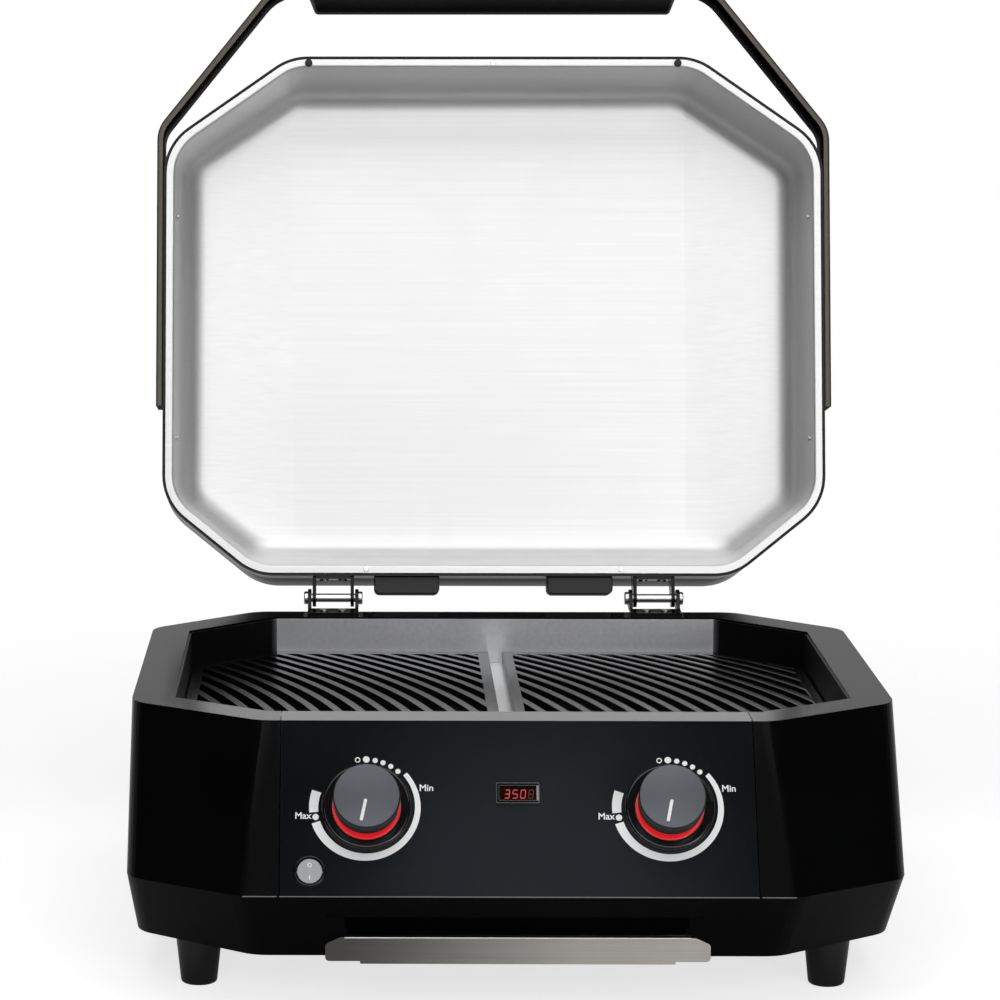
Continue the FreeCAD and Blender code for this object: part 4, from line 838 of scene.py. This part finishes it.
@dataclass
class Skin:
    """Sheet of the lid: the rim carried up a run of rounded corners, and closed by a roof with two folds."""

    node: str
    finish: Finish
    slot: str
    heights: tuple[float, ...]
    setins: tuple[float, ...]
    back_setins: tuple[float, ...]
    bends: tuple[float, ...]
    steps: int
    drop: float
    sheet: float
    faces_in: bool = False
    fold_at: float = 175.0

    def build(self) -> None:
        """Make the sheet, with its folds and its thickness."""
        piece = add_piece(f"{self.node}_dressed", self._surface(), LAYOUT.lid(), Owner.LID, self.finish,
                          (self.node,), SKIN_CREASE)
        with edited(piece.data) as work:
            for sign in SIDES.values():
                geometry = work.verts[:] + work.edges[:] + work.faces[:]
                line = (sign * self.fold_at * MM, 0, 0)
                cut = bmesh.ops.bisect_plane(work, geom=geometry, dist=SAME_NODE_POINT, plane_co=line,
                                             plane_no=(1, 0, 0))
                for edge in cut["geom_cut"]:
                    if isinstance(edge, bmesh.types.BMEdge):
                        edge.smooth = False
        if self.faces_in:
            piece.data.flip_normals()
        add_wall(piece, self.sheet)

    def _surface(self) -> Surface:
        """The loops up to the roof, which drops past its folds towards the lid's sides.

        Returns:
            Points and faces.
        """
        sides, back = [rounded_path(np.column_stack([setins, self.heights]), self.bends, self.steps)
                       for setins in (self.setins, self.back_setins)]
        loops = np.array([RIM.loop(*setins) for setins in zip(sides[:, 0], back[:, 0])])
        rows, count, _ = loops.shape
        points = np.empty((rows, count, 3))
        points[:, :, :2] = loops
        points[:, :, 2] = sides[:, 1][:, None]
        points = points.reshape(-1, 3)
        past = np.clip(np.abs(points[:, 0]) - self.fold_at, 0, None)
        lowered = self.drop * past / (RIM.width / 2 - self.fold_at)
        points[:, 2] *= 1 - lowered / self.heights[-1]
        points[:, 2] += LAYOUT.lid_low
        roof = list(range((rows - 1) * count, rows * count))
        return points, grid_faces(rows, count, close_columns=True) + [roof]


SKINS = [
    Skin("lid_shell", LID_PAINT, "black_paint", heights=(0, 48.0, 100.0, 112.0, 112.0),
         setins=(0, 0, -1.8, 26.0, 34.0), back_setins=(0, 0, -5.5, 26.0, 34.0),
         bends=(0, 30.0, 14.0, 10.0, 0), steps=6, drop=20.0, sheet=2.0),
    Skin("lid_liner", LINER_STEEL, "bright_steel", heights=(0, 0, 90.0, 90.0), setins=(2.6, 9.6, 16.6, 40.6),
         back_setins=(2.6, 9.6, 22.6, 46.6), bends=(0, 2.5, 20.0, 0), steps=14, drop=16.0, sheet=1.2,
         faces_in=True),
]


@dataclass
class Strap:
    """Flat bar bent round the lid, with a turned grip across the front."""

    thickness: float = 6.0
    width: float = 41.0
    low: float = 3.0
    start: float = 149.0
    bend_at: float = 392.7
    top_at: float = 525.4
    top_width: float = 380.9
    edge: float = 1.2
    path_step: float = 8.0

    # Bends along the bar, and radius, height and rounding of the grip's corners
    BENDS = (0, 27.0, 43.0, 43.0, 27.0, 0)
    GRIP = ((0, -162.5, 0), (8.0, -162.5, 3.0), (23.0, -156.5, 4.0), (23.0, 156.5, 4.0), (8.0, 162.5, 3.0),
            (0, 162.5, 0))

    def build(self) -> None:
        """Make the strap and the grip."""
        x = RIM.width / 2 + self.thickness / 2
        top = self.top_width / 2 - self.thickness / 4
        back = -RIM.to_hinge
        front = back - self.top_at + self.thickness / 2
        middle = LAYOUT.lid_low + self.low + self.width / 2
        points = mirrored([(x, back - self.start), (x, back - self.bend_at), (top, front)])
        path = spaced(rounded_path(points, self.BENDS, 10), self.path_step)
        surface = carried(box_section(self.thickness, self.width, self.edge), path, middle)
        add_piece("handle_strap_dressed", surface, LAYOUT.lid(), Owner.LID, STRAP_STEEL,
                  ("handle_strap",))
        points, faces = lathed(self.GRIP, 8, 72)
        lying = points[:, [2, 0, 1]]
        add_piece("handle_grip_dressed", (lying, faces), LAYOUT.lid() @ moved(0, front, middle), Owner.LID,
                  GRIP_PLASTIC, ("handle_grip",))


# The controls


def add_words(name: str, text: str, height: float, where: Array) -> None:
    """Print a white word on the body as a thin mesh.

    Args:
        name: the piece's name.
        text: the word.
        height: size of the letters in millimetres.
        where: matrix from the drawing to the frame.
    """
    size_share, bold_share, thickness = 1.4, 0.02, 0.1
    curve = bpy.data.curves.new(name, "FONT")
    curve.body = text
    curve.size = height * size_share
    curve.extrude = thickness
    curve.bevel_depth = height * bold_share
    curve.bevel_resolution = 0
    holder = bpy.data.objects.new(name, curve)
    bpy.context.scene.collection.objects.link(holder)
    bpy.context.view_layer.update()
    mesh = bpy.data.meshes.new_from_object(holder.evaluated_get(bpy.context.evaluated_depsgraph_get()))
    bpy.data.objects.remove(holder)
    points = np.empty(len(mesh.vertices) * 3)
    mesh.vertices.foreach_get("co", points)
    points = points.reshape(-1, 3)
    points[:, 2] = PRINT_HEIGHT * (points[:, 2] > 0)
    faces = [list(face.vertices) for face in mesh.polygons]
    bpy.data.meshes.remove(mesh)
    add_piece(name, (points, faces), where, Owner.BODY, WHITE_PRINT)


@dataclass
class Dial:
    """Knob with its light ring and the marks printed round it."""

    side: str
    spread: float = 223.0
    pointer_turn: float = 191.6
    pointer_length: float = 16.8
    pointer_width: float = 2.3
    pointer_round: float = 0.69
    pointer_height: float = 0.3
    pointer_at: float = 11.2
    pointer_low: float = 29.35
    print_across: float = -1.2
    print_up: float = 0.5
    ring_outer: float = 41.1
    arc_start: float = 49.0
    arc_end: float = 289.0
    gap_start: float = 252.0
    gap_end: float = 264.0
    thin_share: float = 0.087
    thick_share: float = 0.172
    mark_radius: float = 37.0
    open_turn: float = -8.3
    open_bore: float = 1.3
    open_radius: float = 2.1
    letter_height: float = 5.1

    # Radius, height and rounding of each corner
    CAP = ((0, 5.0, 0), (16.0, 5.0, 1.0), (16.0, 13.0, 0.8), (24.2, 13.0, 0.6), (24.6, 23.5, 2.0),
           (24.6, 29.1, 1.6), (0, 29.1, 0))
    FACE = ((0, 29.0, 0), (24.0, 29.0, 0), (24.0, 29.4, 0.3), (0, 29.5, 0))
    GLOW = ((18.4, 0.4, 0), (24.9, 0.4, 0.3), (24.9, 3.0, 0.5), (18.4, 3.0, 0.3), (18.4, 0.4, 0))
    CLEAR_EDGE = ((24.95, 0.4, 0), (25.45, 0.4, 0), (25.45, 3.0, 0), (24.95, 3.2, 0), (24.95, 0.4, 0))

    # Dial angle and radius of each dot, and each word with its place
    DOTS = ((258.0, 2.4), (11.9, 1.95), (21.4, 1.95), (31.2, 1.95), (41.3, 1.95), (1.6, 2.5))
    WORDS = (("Min", 40.0, 12.7), ("Max", -51.6, -9.0))

    def build(self) -> None:
        """Make the knob, the light ring and the marks."""
        place = LAYOUT.panel(SIDES[self.side] * self.spread / 2)
        self._knob(place)
        ring = f"{self.side}_light_ring"
        add_piece(f"{ring}_dressed", lathed(self.GLOW, 5), place, Owner.BODY, RED_LIGHT, (ring,))
        # The pale ring round the light ring's clear edge is a painted highlight
        add_piece(f"{ring}_edge", lathed(self.CLEAR_EDGE), place, Owner.BODY, EDGE_HIGHLIGHT)
        self._marks(place @ moved(self.print_across, self.print_up, 0.0))

    def _knob(self, place: Array) -> None:
        """Turned cap with a spun face and a pointer line let into it.

        Args:
            place: matrix from the dial's flat drawing to the frame.
        """
        name, owner = f"{self.side}_knob", Owner(f"{self.side}_dial")
        add_piece(f"{name}_dressed", lathed(self.CAP), place, owner, KNOB_SIDE, (name,))
        add_piece(f"{name}_face", lathed(self.FACE, 4), place, owner, KNOB_FACE)
        outline = box_section(self.pointer_width, self.pointer_length, self.pointer_round)
        bar = plate(outline, self.pointer_height)
        angle = math.radians(-self.pointer_turn)
        spin = np.eye(4)
        spin[:2, :2] = [[math.cos(angle), -math.sin(angle)], [math.sin(angle), math.cos(angle)]]
        lift = moved(0, self.pointer_at, self.pointer_low)
        add_piece(f"{name}_pointer", bar, place @ spin @ lift, owner, WHITE_PRINT)

    def _arc(self, start: float, end: float) -> Surface:
        """Printed band: width = outer * (thin + (thick - thin) * way along the whole arc).

        Args:
            start: first angle, clockwise from the top, in degrees.
            end: last angle.

        Returns:
            Points and faces.
        """
        turn = np.linspace(start, end, max(3, int(end - start)))
        grown = (turn - self.arc_start) / (self.arc_end - self.arc_start)
        width = self.ring_outer * (self.thin_share + (self.thick_share - self.thin_share) * grown)
        angle = np.radians(90 - turn)
        across = np.stack([np.cos(angle), np.sin(angle)], axis=1)
        inside = across * (self.ring_outer - width)[:, None]
        return plate(np.concatenate([across * self.ring_outer, inside[::-1]])[::-1], PRINT_HEIGHT)

    def _marks(self, place: Array) -> None:
        """Band, dots, ring and words printed on the panel.

        Args:
            place: matrix from the marks' flat drawing to the frame.
        """
        parts = [self._arc(self.arc_start, self.gap_start), self._arc(self.gap_end, self.arc_end)]
        parts += [shifted(disc(radius, PRINT_HEIGHT), *self._spot(turn)) for turn, radius in self.DOTS]
        ring = washer(self.open_bore, self.open_radius, PRINT_HEIGHT)
        parts.append(shifted(ring, *self._spot(self.open_turn)))
        add_piece(f"{self.side}_dial_marks", joined(parts), place, Owner.BODY, WHITE_PRINT)
        for word, x, y in self.WORDS:
            add_words(f"{self.side}_dial_{word.lower()}", word, self.letter_height, place @ moved(x, y, 0.0))

    def _spot(self, turn: float) -> tuple[float, float]:
        """Place of a mark at a dial angle, clockwise from the top."""
        angle = math.radians(90 - turn)
        return self.mark_radius * math.cos(angle), self.mark_radius * math.sin(angle)


@dataclass
class Display:
    """Lit digits behind the display's window, an unlit one with a faint painted glow, and painted highlights
    on the edges of its clear frame.
    """

    rise: float = 11.4
    width: float = 32.0
    height: float = 16.0
    mouth_width: float = 27.2
    mouth_height: float = 11.2
    proud: float = 1.2
    bead: float = 0.6
    thin_bead: float = 0.35
    lit_side: float = 1.9
    across: float = 1.0
    digit_drop: float = 0.8
    digit_out: float = 0.65
    digit_height: float = 6.2
    digit_width: float = 3.3
    pitch: float = 5.85
    stroke: float = 0.66
    shoulder_share: float = 0.6
    tip_share: float = 0.15
    slant: float = 0.12
    depth: float = 0.4
    text: str = "350"

    SEGMENTS = {"0": "abcdef", "3": "abgcd", "5": "afgcd", "8": "abcdefg"}

    def build(self) -> None:
        """Make the lit digits, the unlit one after them with its painted glow, and the painted highlights on
        the frame's edges.
        """
        place = LAYOUT.panel(self.across, self.rise - self.digit_drop, self.digit_out)
        middle = len(self.text) / 2
        lit = [shifted(self._digit(sign), (index - middle) * self.pitch)
               for index, sign in enumerate(self.text)]
        add_piece("display_digits", joined(lit), place, Owner.BODY, DIGIT_LIGHT)
        # The unlit digit gets a faint painted glow
        dim = shifted(self._digit("8"), middle * self.pitch)
        add_piece("display_digit_unlit_painted_glow", dim, place, Owner.BODY, DIGIT_PAINTED_GLOW)
        self._edge_highlights()

    def _edge_highlights(self) -> None:
        """Painted highlights: a bead round the frame's outside, a thinner one round the window and the
        frame's lit right side.
        """
        edge = self.thin_bead
        outside = framed(box_section(self.width, self.height, 3 * edge),
                         box_section(self.width - 2 * self.bead, self.height - 2 * self.bead, 2 * edge), edge)
        inside = framed(box_section(self.mouth_width + 2 * edge, self.mouth_height + 2 * edge, edge),
                        box_section(self.mouth_width, self.mouth_height, edge / 2), edge / 2)
        side = plate(box_section(self.lit_side, self.mouth_height + self.bead, edge), edge / 2)
        side = shifted(side, (self.mouth_width + self.lit_side) / 2)
        place = LAYOUT.panel(0.0, self.rise, self.proud)
        edges = joined([outside, inside])
        add_piece("display_frame_edge_highlights", edges, place, Owner.BODY, EDGE_DIM_HIGHLIGHT)
        add_piece("display_frame_lit_side", side, place, Owner.BODY, EDGE_HIGHLIGHT)

    def _digit(self, sign: str) -> Surface:
        """Seven-bar digit: each bar a six-sided plate.

        Args:
            sign: the digit.

        Returns:
            Points and faces.
        """
        w, h = self.digit_width / 2, self.digit_height / 2
        ends = {"a": ((-w, h), (w, h)), "b": ((w, h), (w, 0)), "c": ((w, 0), (w, -h)),
                "d": ((-w, -h), (w, -h)), "e": ((-w, 0), (-w, -h)), "f": ((-w, h), (-w, 0)),
                "g": ((-w, 0), (w, 0))}
        bars = []
        for bar in self.SEGMENTS[sign]:
            first, last = np.array(ends[bar])
            along = (last - first) / np.linalg.norm(last - first)
            side = np.array([-along[1], along[0]]) * self.stroke / 2
            inner = along * self.stroke * self.shoulder_share
            tip = along * self.stroke * self.tip_share
            outline = np.array([first + tip, first + inner - side, last - inner - side, last - tip,
                                last - inner + side, first + inner + side])
            outline[:, 0] += outline[:, 1] * self.slant
            bars.append(plate(outline, self.depth))
        return joined(bars)


@dataclass
class RockerMarks:
    """Marks on the two ends of the rocker, whose face is dished: rise = dish * y / half."""

    across: float = 153.0
    drop: float = 49.0
    well: float = 6.0
    tilt: float = 6.0
    face: float = 6.35
    dish: float = 0.9
    half: float = 9.0
    mark_at: float = 4.6
    mark_height: float = 0.15
    ring_bore: float = 1.0
    ring_radius: float = 1.7
    bar_width: float = 0.8
    bar_length: float = 3.4
    bar_round: float = 0.2

    def build(self) -> None:
        """Make the O above and the I below."""
        place = LAYOUT.panel(-self.across, -self.drop, -self.well / 2) @ turn_about_x(self.tilt)
        ring = washer(self.ring_bore, self.ring_radius, self.mark_height)
        bar = plate(box_section(self.bar_width, self.bar_length, self.bar_round), self.mark_height)
        slope = math.degrees(math.atan2(self.dish, self.half))
        rise = self.face - self.dish + self.mark_at * self.dish / self.half
        for name, mark, way in (("switch_mark_off", ring, 1), ("switch_mark_on", bar, -1)):
            where = place @ moved(0, way * self.mark_at, rise) @ turn_about_x(way * slope)
            add_piece(name, mark, where, Owner.ROCKER, WHITE_PRINT)


@dataclass
class Bead:
    """Bright bead that runs along X over a folded edge: a painted highlight on the fold."""

    name: str
    owner: Owner
    slot: str
    finish: Finish
    length: float
    y: float
    z: float
    radius: float = 0.55
    x: float = 0.0
    steps: int = 12

    def build(self) -> None:
        """Make the edge as a round bead carried along X."""
        turn = np.linspace(0, 2 * np.pi, self.steps, endpoint=False)
        section = self.radius * np.stack([np.cos(turn), np.sin(turn)], axis=1)
        half = self.length / 2
        path = np.array([(self.x - half, self.y), (self.x, self.y), (self.x + half, self.y)])
        add_piece(self.name, carried(section, path, self.z), FLAT, self.owner, self.finish)


# Bright beads on the panel's lower fold and the body's fold beside it, where the paint is black: painted
# highlights
PANEL_HEM_HIGHLIGHT = Bead("front_panel_hem_highlight", Owner.BODY, "black_paint", HEM_HIGHLIGHT, length=350.0,
                 y=-LAYOUT.setback - LAYOUT.girdle_reach, z=LAYOUT.girdle_height)
BEADS = [
    PANEL_HEM_HIGHLIGHT,
    *(replace(PANEL_HEM_HIGHLIGHT, name=f"{side}_body_hem_highlight", length=25.0, x=sign * 189.5)
      for side, sign in SIDES.items()),
    # The tray's real folded top edge, drawn in brighter steel than the tray as a painted highlight
    Bead("drip_tray_hem_highlight", Owner.TRAY, "brushed_steel", PIN_STEEL, length=255.0, y=-355.4, z=58.5,
         radius=0.75),
]


# CAD nodes with rounded edges, and those that only take a finish


def both(name: str) -> list[str]:
    """The left and the right node of a pair."""
    return [f"{side}_{name}" for side in SIDES]


SOFTENED = [
    (["body_shell"], Owner.BODY, BLACK_PAINT, "black_paint", 1.2),
    (["front_panel"], Owner.BODY, PANEL_PAINT, "black_paint", 0.7),
    (["base_pan"], Owner.BODY, BELLY_PAINT, "black_paint", 1.2),
    (["fire_box"], Owner.BODY, BOX_STEEL_PAINTED_SHADE, "box_steel", 0.7),
    (both("grate"), Owner.BODY, CAST_IRON, "cast_iron", 3.4),
    (["centre_bridge"], Owner.BODY, BRIGHT_STEEL, "bright_steel", 0.5),
    (both("body_hinge"), Owner.BODY, BLACK_PAINT, "black_paint", 0.4),
    (both("lid_hinge"), Owner.LID, BLACK_PAINT, "black_paint", 0.4),
    (both("lid_stop"), Owner.LID, GRIP_PLASTIC, "grip_plastic", 1.2),
    (["drip_tray"], Owner.TRAY, TRAY_STEEL, "brushed_steel", 0.4),
    (["display_bezel"], Owner.BODY, CLEAR_BEZEL, "clear_bezel", 0.3),
]

DRESSED = {
    TUBE_METAL: both("heating_element"),
    RAIL_STEEL: ["element_carriers", *both("tray_rail")],
    FOOT_PLASTIC: [f"{end}_{foot}" for end in ("front", "back") for foot in both("foot")],
    SCREW_STEEL: ["foot_screws", "body_hinge_screws", "lid_hinge_screws", "handle_bolts"],
    GLOSS_BLACK: [*both("knob_bezel"), "switch_housing"],
    RED_LIGHT: both("light_ring"),
    GRIP_PLASTIC: [*both("regulator"), "mains_inlet", "handle_grip"],
    BRIGHT_STEEL: both("knob_shaft"),
    DISPLAY_DARK: ["display_window"],
    BOARD_GREEN: ["display_board"],
    SWITCH_GREY: ["switch_rocker"],
    PIN_STEEL: [*both("hinge_pin"), "lid_screws"],
    RUBBER: both("lid_bumper"),
    LID_PAINT: ["lid_shell"],
    LINER_STEEL: ["lid_liner"],
    STRAP_STEEL: ["handle_strap"],
    KNOB_SIDE: both("knob"),
}


class Metalwork:
    """CAD nodes kept as they are or with softened edges."""

    PLAIN_FACETS = 2
    FACETS = {CAST_IRON: 4}

    def build(self) -> None:
        """Soften the listed nodes, and give every node its finish."""
        for nodes, owner, finish, slot, edge in SOFTENED:
            for node in nodes:
                add_softened(node, owner, finish, edge, self.FACETS.get(finish, self.PLAIN_FACETS))
                self._dress(node, finish)
        for finish, nodes in DRESSED.items():
            for node in nodes:
                self._dress(node, finish)

    @staticmethod
    def _dress(node: str, finish: Finish | Glow) -> None:
        """Put a finish on every material slot of a CAD node."""
        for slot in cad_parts[node].material_slots:
            slot.material = paint(finish)


# The studio


@dataclass
class Studio:
    """Camera at the photograph's place, pale floor and soft light. Lengths are in metres."""

    camera_at: Point = (-0.11785, -2.97737, 0.76943)
    pitch: float = 0.14992
    yaw: float = -0.01
    focal_pixels: float = 3669.05
    centre_x: float = 322.0
    centre_y: float = 514.43
    sensor: float = 36.0
    far: float = 100.0
    floor_half: float = 4.0
    floor_grey: float = 0.55
    floor_rough: float = 0.9
    floor_specular: float = 0.1
    floor_lift: float = 0.73
    floor_shine: float = 0.12
    floor_fades: tuple[float, float] = (0.5, 1.5)
    room_dark: float = 0.02
    room_back: float = 0.35
    room_shine: float = 0.1
    room_between: tuple[float, float] = (0.1, 0.8)

    # Name, place, the point that it faces, width and height, and watts
    LAMPS = (
        ("front_card", (0.0, -4.2, 2.15), (0.0, 0.2, 0.45), (4.6, 2.5), 76.0),
        ("top_card", (0.0, -1.1, 3.1), (0.0, -0.1, 0.2), (3.0, 2.2), 42.0),
        ("low_card", (1.2, -2.1, 0.3), (0.0, -0.35, 0.08), (0.8, 0.4), 8.0),
    )

    def build(self) -> None:
        """Make the camera, the floor, the world and the lamps."""
        bpy.context.scene.view_settings.view_transform = "Standard"
        self._camera()
        self._floor()
        self._world()
        for lamp in self.LAMPS:
            self._lamp(*lamp)

    def _camera(self) -> None:
        """Long lens, shifted as the photograph is framed."""
        data = bpy.data.cameras.new("camera")
        data.sensor_width = self.sensor
        data.lens = self.focal_pixels * self.sensor / IMAGE_SIDE
        data.shift_x = (IMAGE_SIDE / 2 - self.centre_x) / IMAGE_SIDE
        data.shift_y = (self.centre_y - IMAGE_SIDE / 2) / IMAGE_SIDE
        data.clip_end = self.far
        camera = bpy.data.objects.new("camera", data)
        camera.location = self.camera_at
        camera.rotation_euler = (math.pi / 2 - self.pitch, 0.0, -self.yaw)
        bpy.context.scene.collection.objects.link(camera)
        bpy.context.scene.camera = camera

    def _floor(self) -> None:
        """Pale floor that fades out into the white behind, with the grill's soft shadow on it."""
        half = self.floor_half
        mesh = bpy.data.meshes.new("floor")
        corners = [(-half, -half, 0), (half, -half, 0), (half, half, 0), (-half, half, 0)]
        mesh.from_pydata(corners, [], [[0, 1, 2, 3]])
        floor = bpy.data.objects.new("floor", mesh)
        bpy.context.scene.collection.objects.link(floor)
        material, tree, shader = new_material("pale_floor")
        path = tree.nodes.new("ShaderNodeLightPath").outputs
        seen = path["Is Camera Ray"]
        for ray, weight in (("Is Transmission Ray", 1.0), ("Is Glossy Ray", self.floor_shine)):
            seen = add_math(tree, "MULTIPLY_ADD", path[ray], weight, seen)
        place = add_node(tree, "TexCoord", "Object", {})
        away = add_node(tree, "VectorMath", "Value", {0: place}, operation="LENGTH")
        feed(tree, shader, {
            "Base Color": (self.floor_grey, self.floor_grey, self.floor_grey, 1),
            "Roughness": self.floor_rough,
            "Specular IOR Level": self.floor_specular,
            "Emission Color": (1, 1, 1, 1),
            "Emission Strength": add_range(tree, seen, (0.0, 1.0), (0.0, self.floor_lift)),
            "Alpha": add_range(tree, away, self.floor_fades, (1.0, 0.0), "SMOOTHSTEP"),
        })
        mesh.materials.append(material)

    def _world(self) -> None:
        """Grey behind the grill and a dark room in front, which the camera sees as white all round."""
        world = bpy.data.worlds.new("studio")
        bpy.context.scene.world = world
        world.use_nodes = True
        tree = world.node_tree
        path = tree.nodes.new("ShaderNodeLightPath").outputs
        back = add_math(tree, "MULTIPLY_ADD", path["Is Glossy Ray"], self.room_shine, self.room_back)
        place = add_node(tree, "TexCoord", "Generated", {})
        depth = add_node(tree, "SeparateXYZ", "Y", {"Vector": place})
        level = add_range(tree, depth, self.room_between, (self.room_dark, back), "SMOOTHSTEP")
        for ray in ("Is Camera Ray", "Is Transmission Ray"):
            level = add_math(tree, "MAXIMUM", path[ray], level)
        feed(tree, tree.nodes["Background"], {"Color": (1, 1, 1, 1), "Strength": level})

    @staticmethod
    def _lamp(name: str, at: Point, towards: Point, size: tuple[float, float], power: float) -> None:
        """Soft rectangular lamp.

        Args:
            name: the lamp's name.
            at: where it hangs.
            towards: the point that it faces.
            size: its width and height.
            power: its strength in watts.
        """
        data = bpy.data.lights.new(name, "AREA")
        data.shape = "RECTANGLE"
        data.size, data.size_y = size
        data.energy = power
        lamp = bpy.data.objects.new(name, data)
        lamp.location = at
        aim = np.array(towards) - np.array(at)
        across = math.atan2(aim[1], aim[0]) - math.pi / 2
        down = math.atan2(aim[2], math.hypot(aim[0], aim[1]))
        lamp.rotation_euler = (math.pi / 2 + down, 0.0, across)
        bpy.context.scene.collection.objects.link(lamp)


def main() -> None:
    """Build the looks in order."""
    logging.basicConfig(level=logging.INFO, format="%(name)s: %(message)s")
    Metalwork().build()
    for skin in SKINS:
        skin.build()
    Strap().build()
    for side in SIDES:
        Dial(side).build()
    Display().build()
    RockerMarks().build()
    for bead in BEADS:
        bead.build()
    Studio().build()
    bpy.context.view_layer.update()


if __name__ == "__main__":
    main()
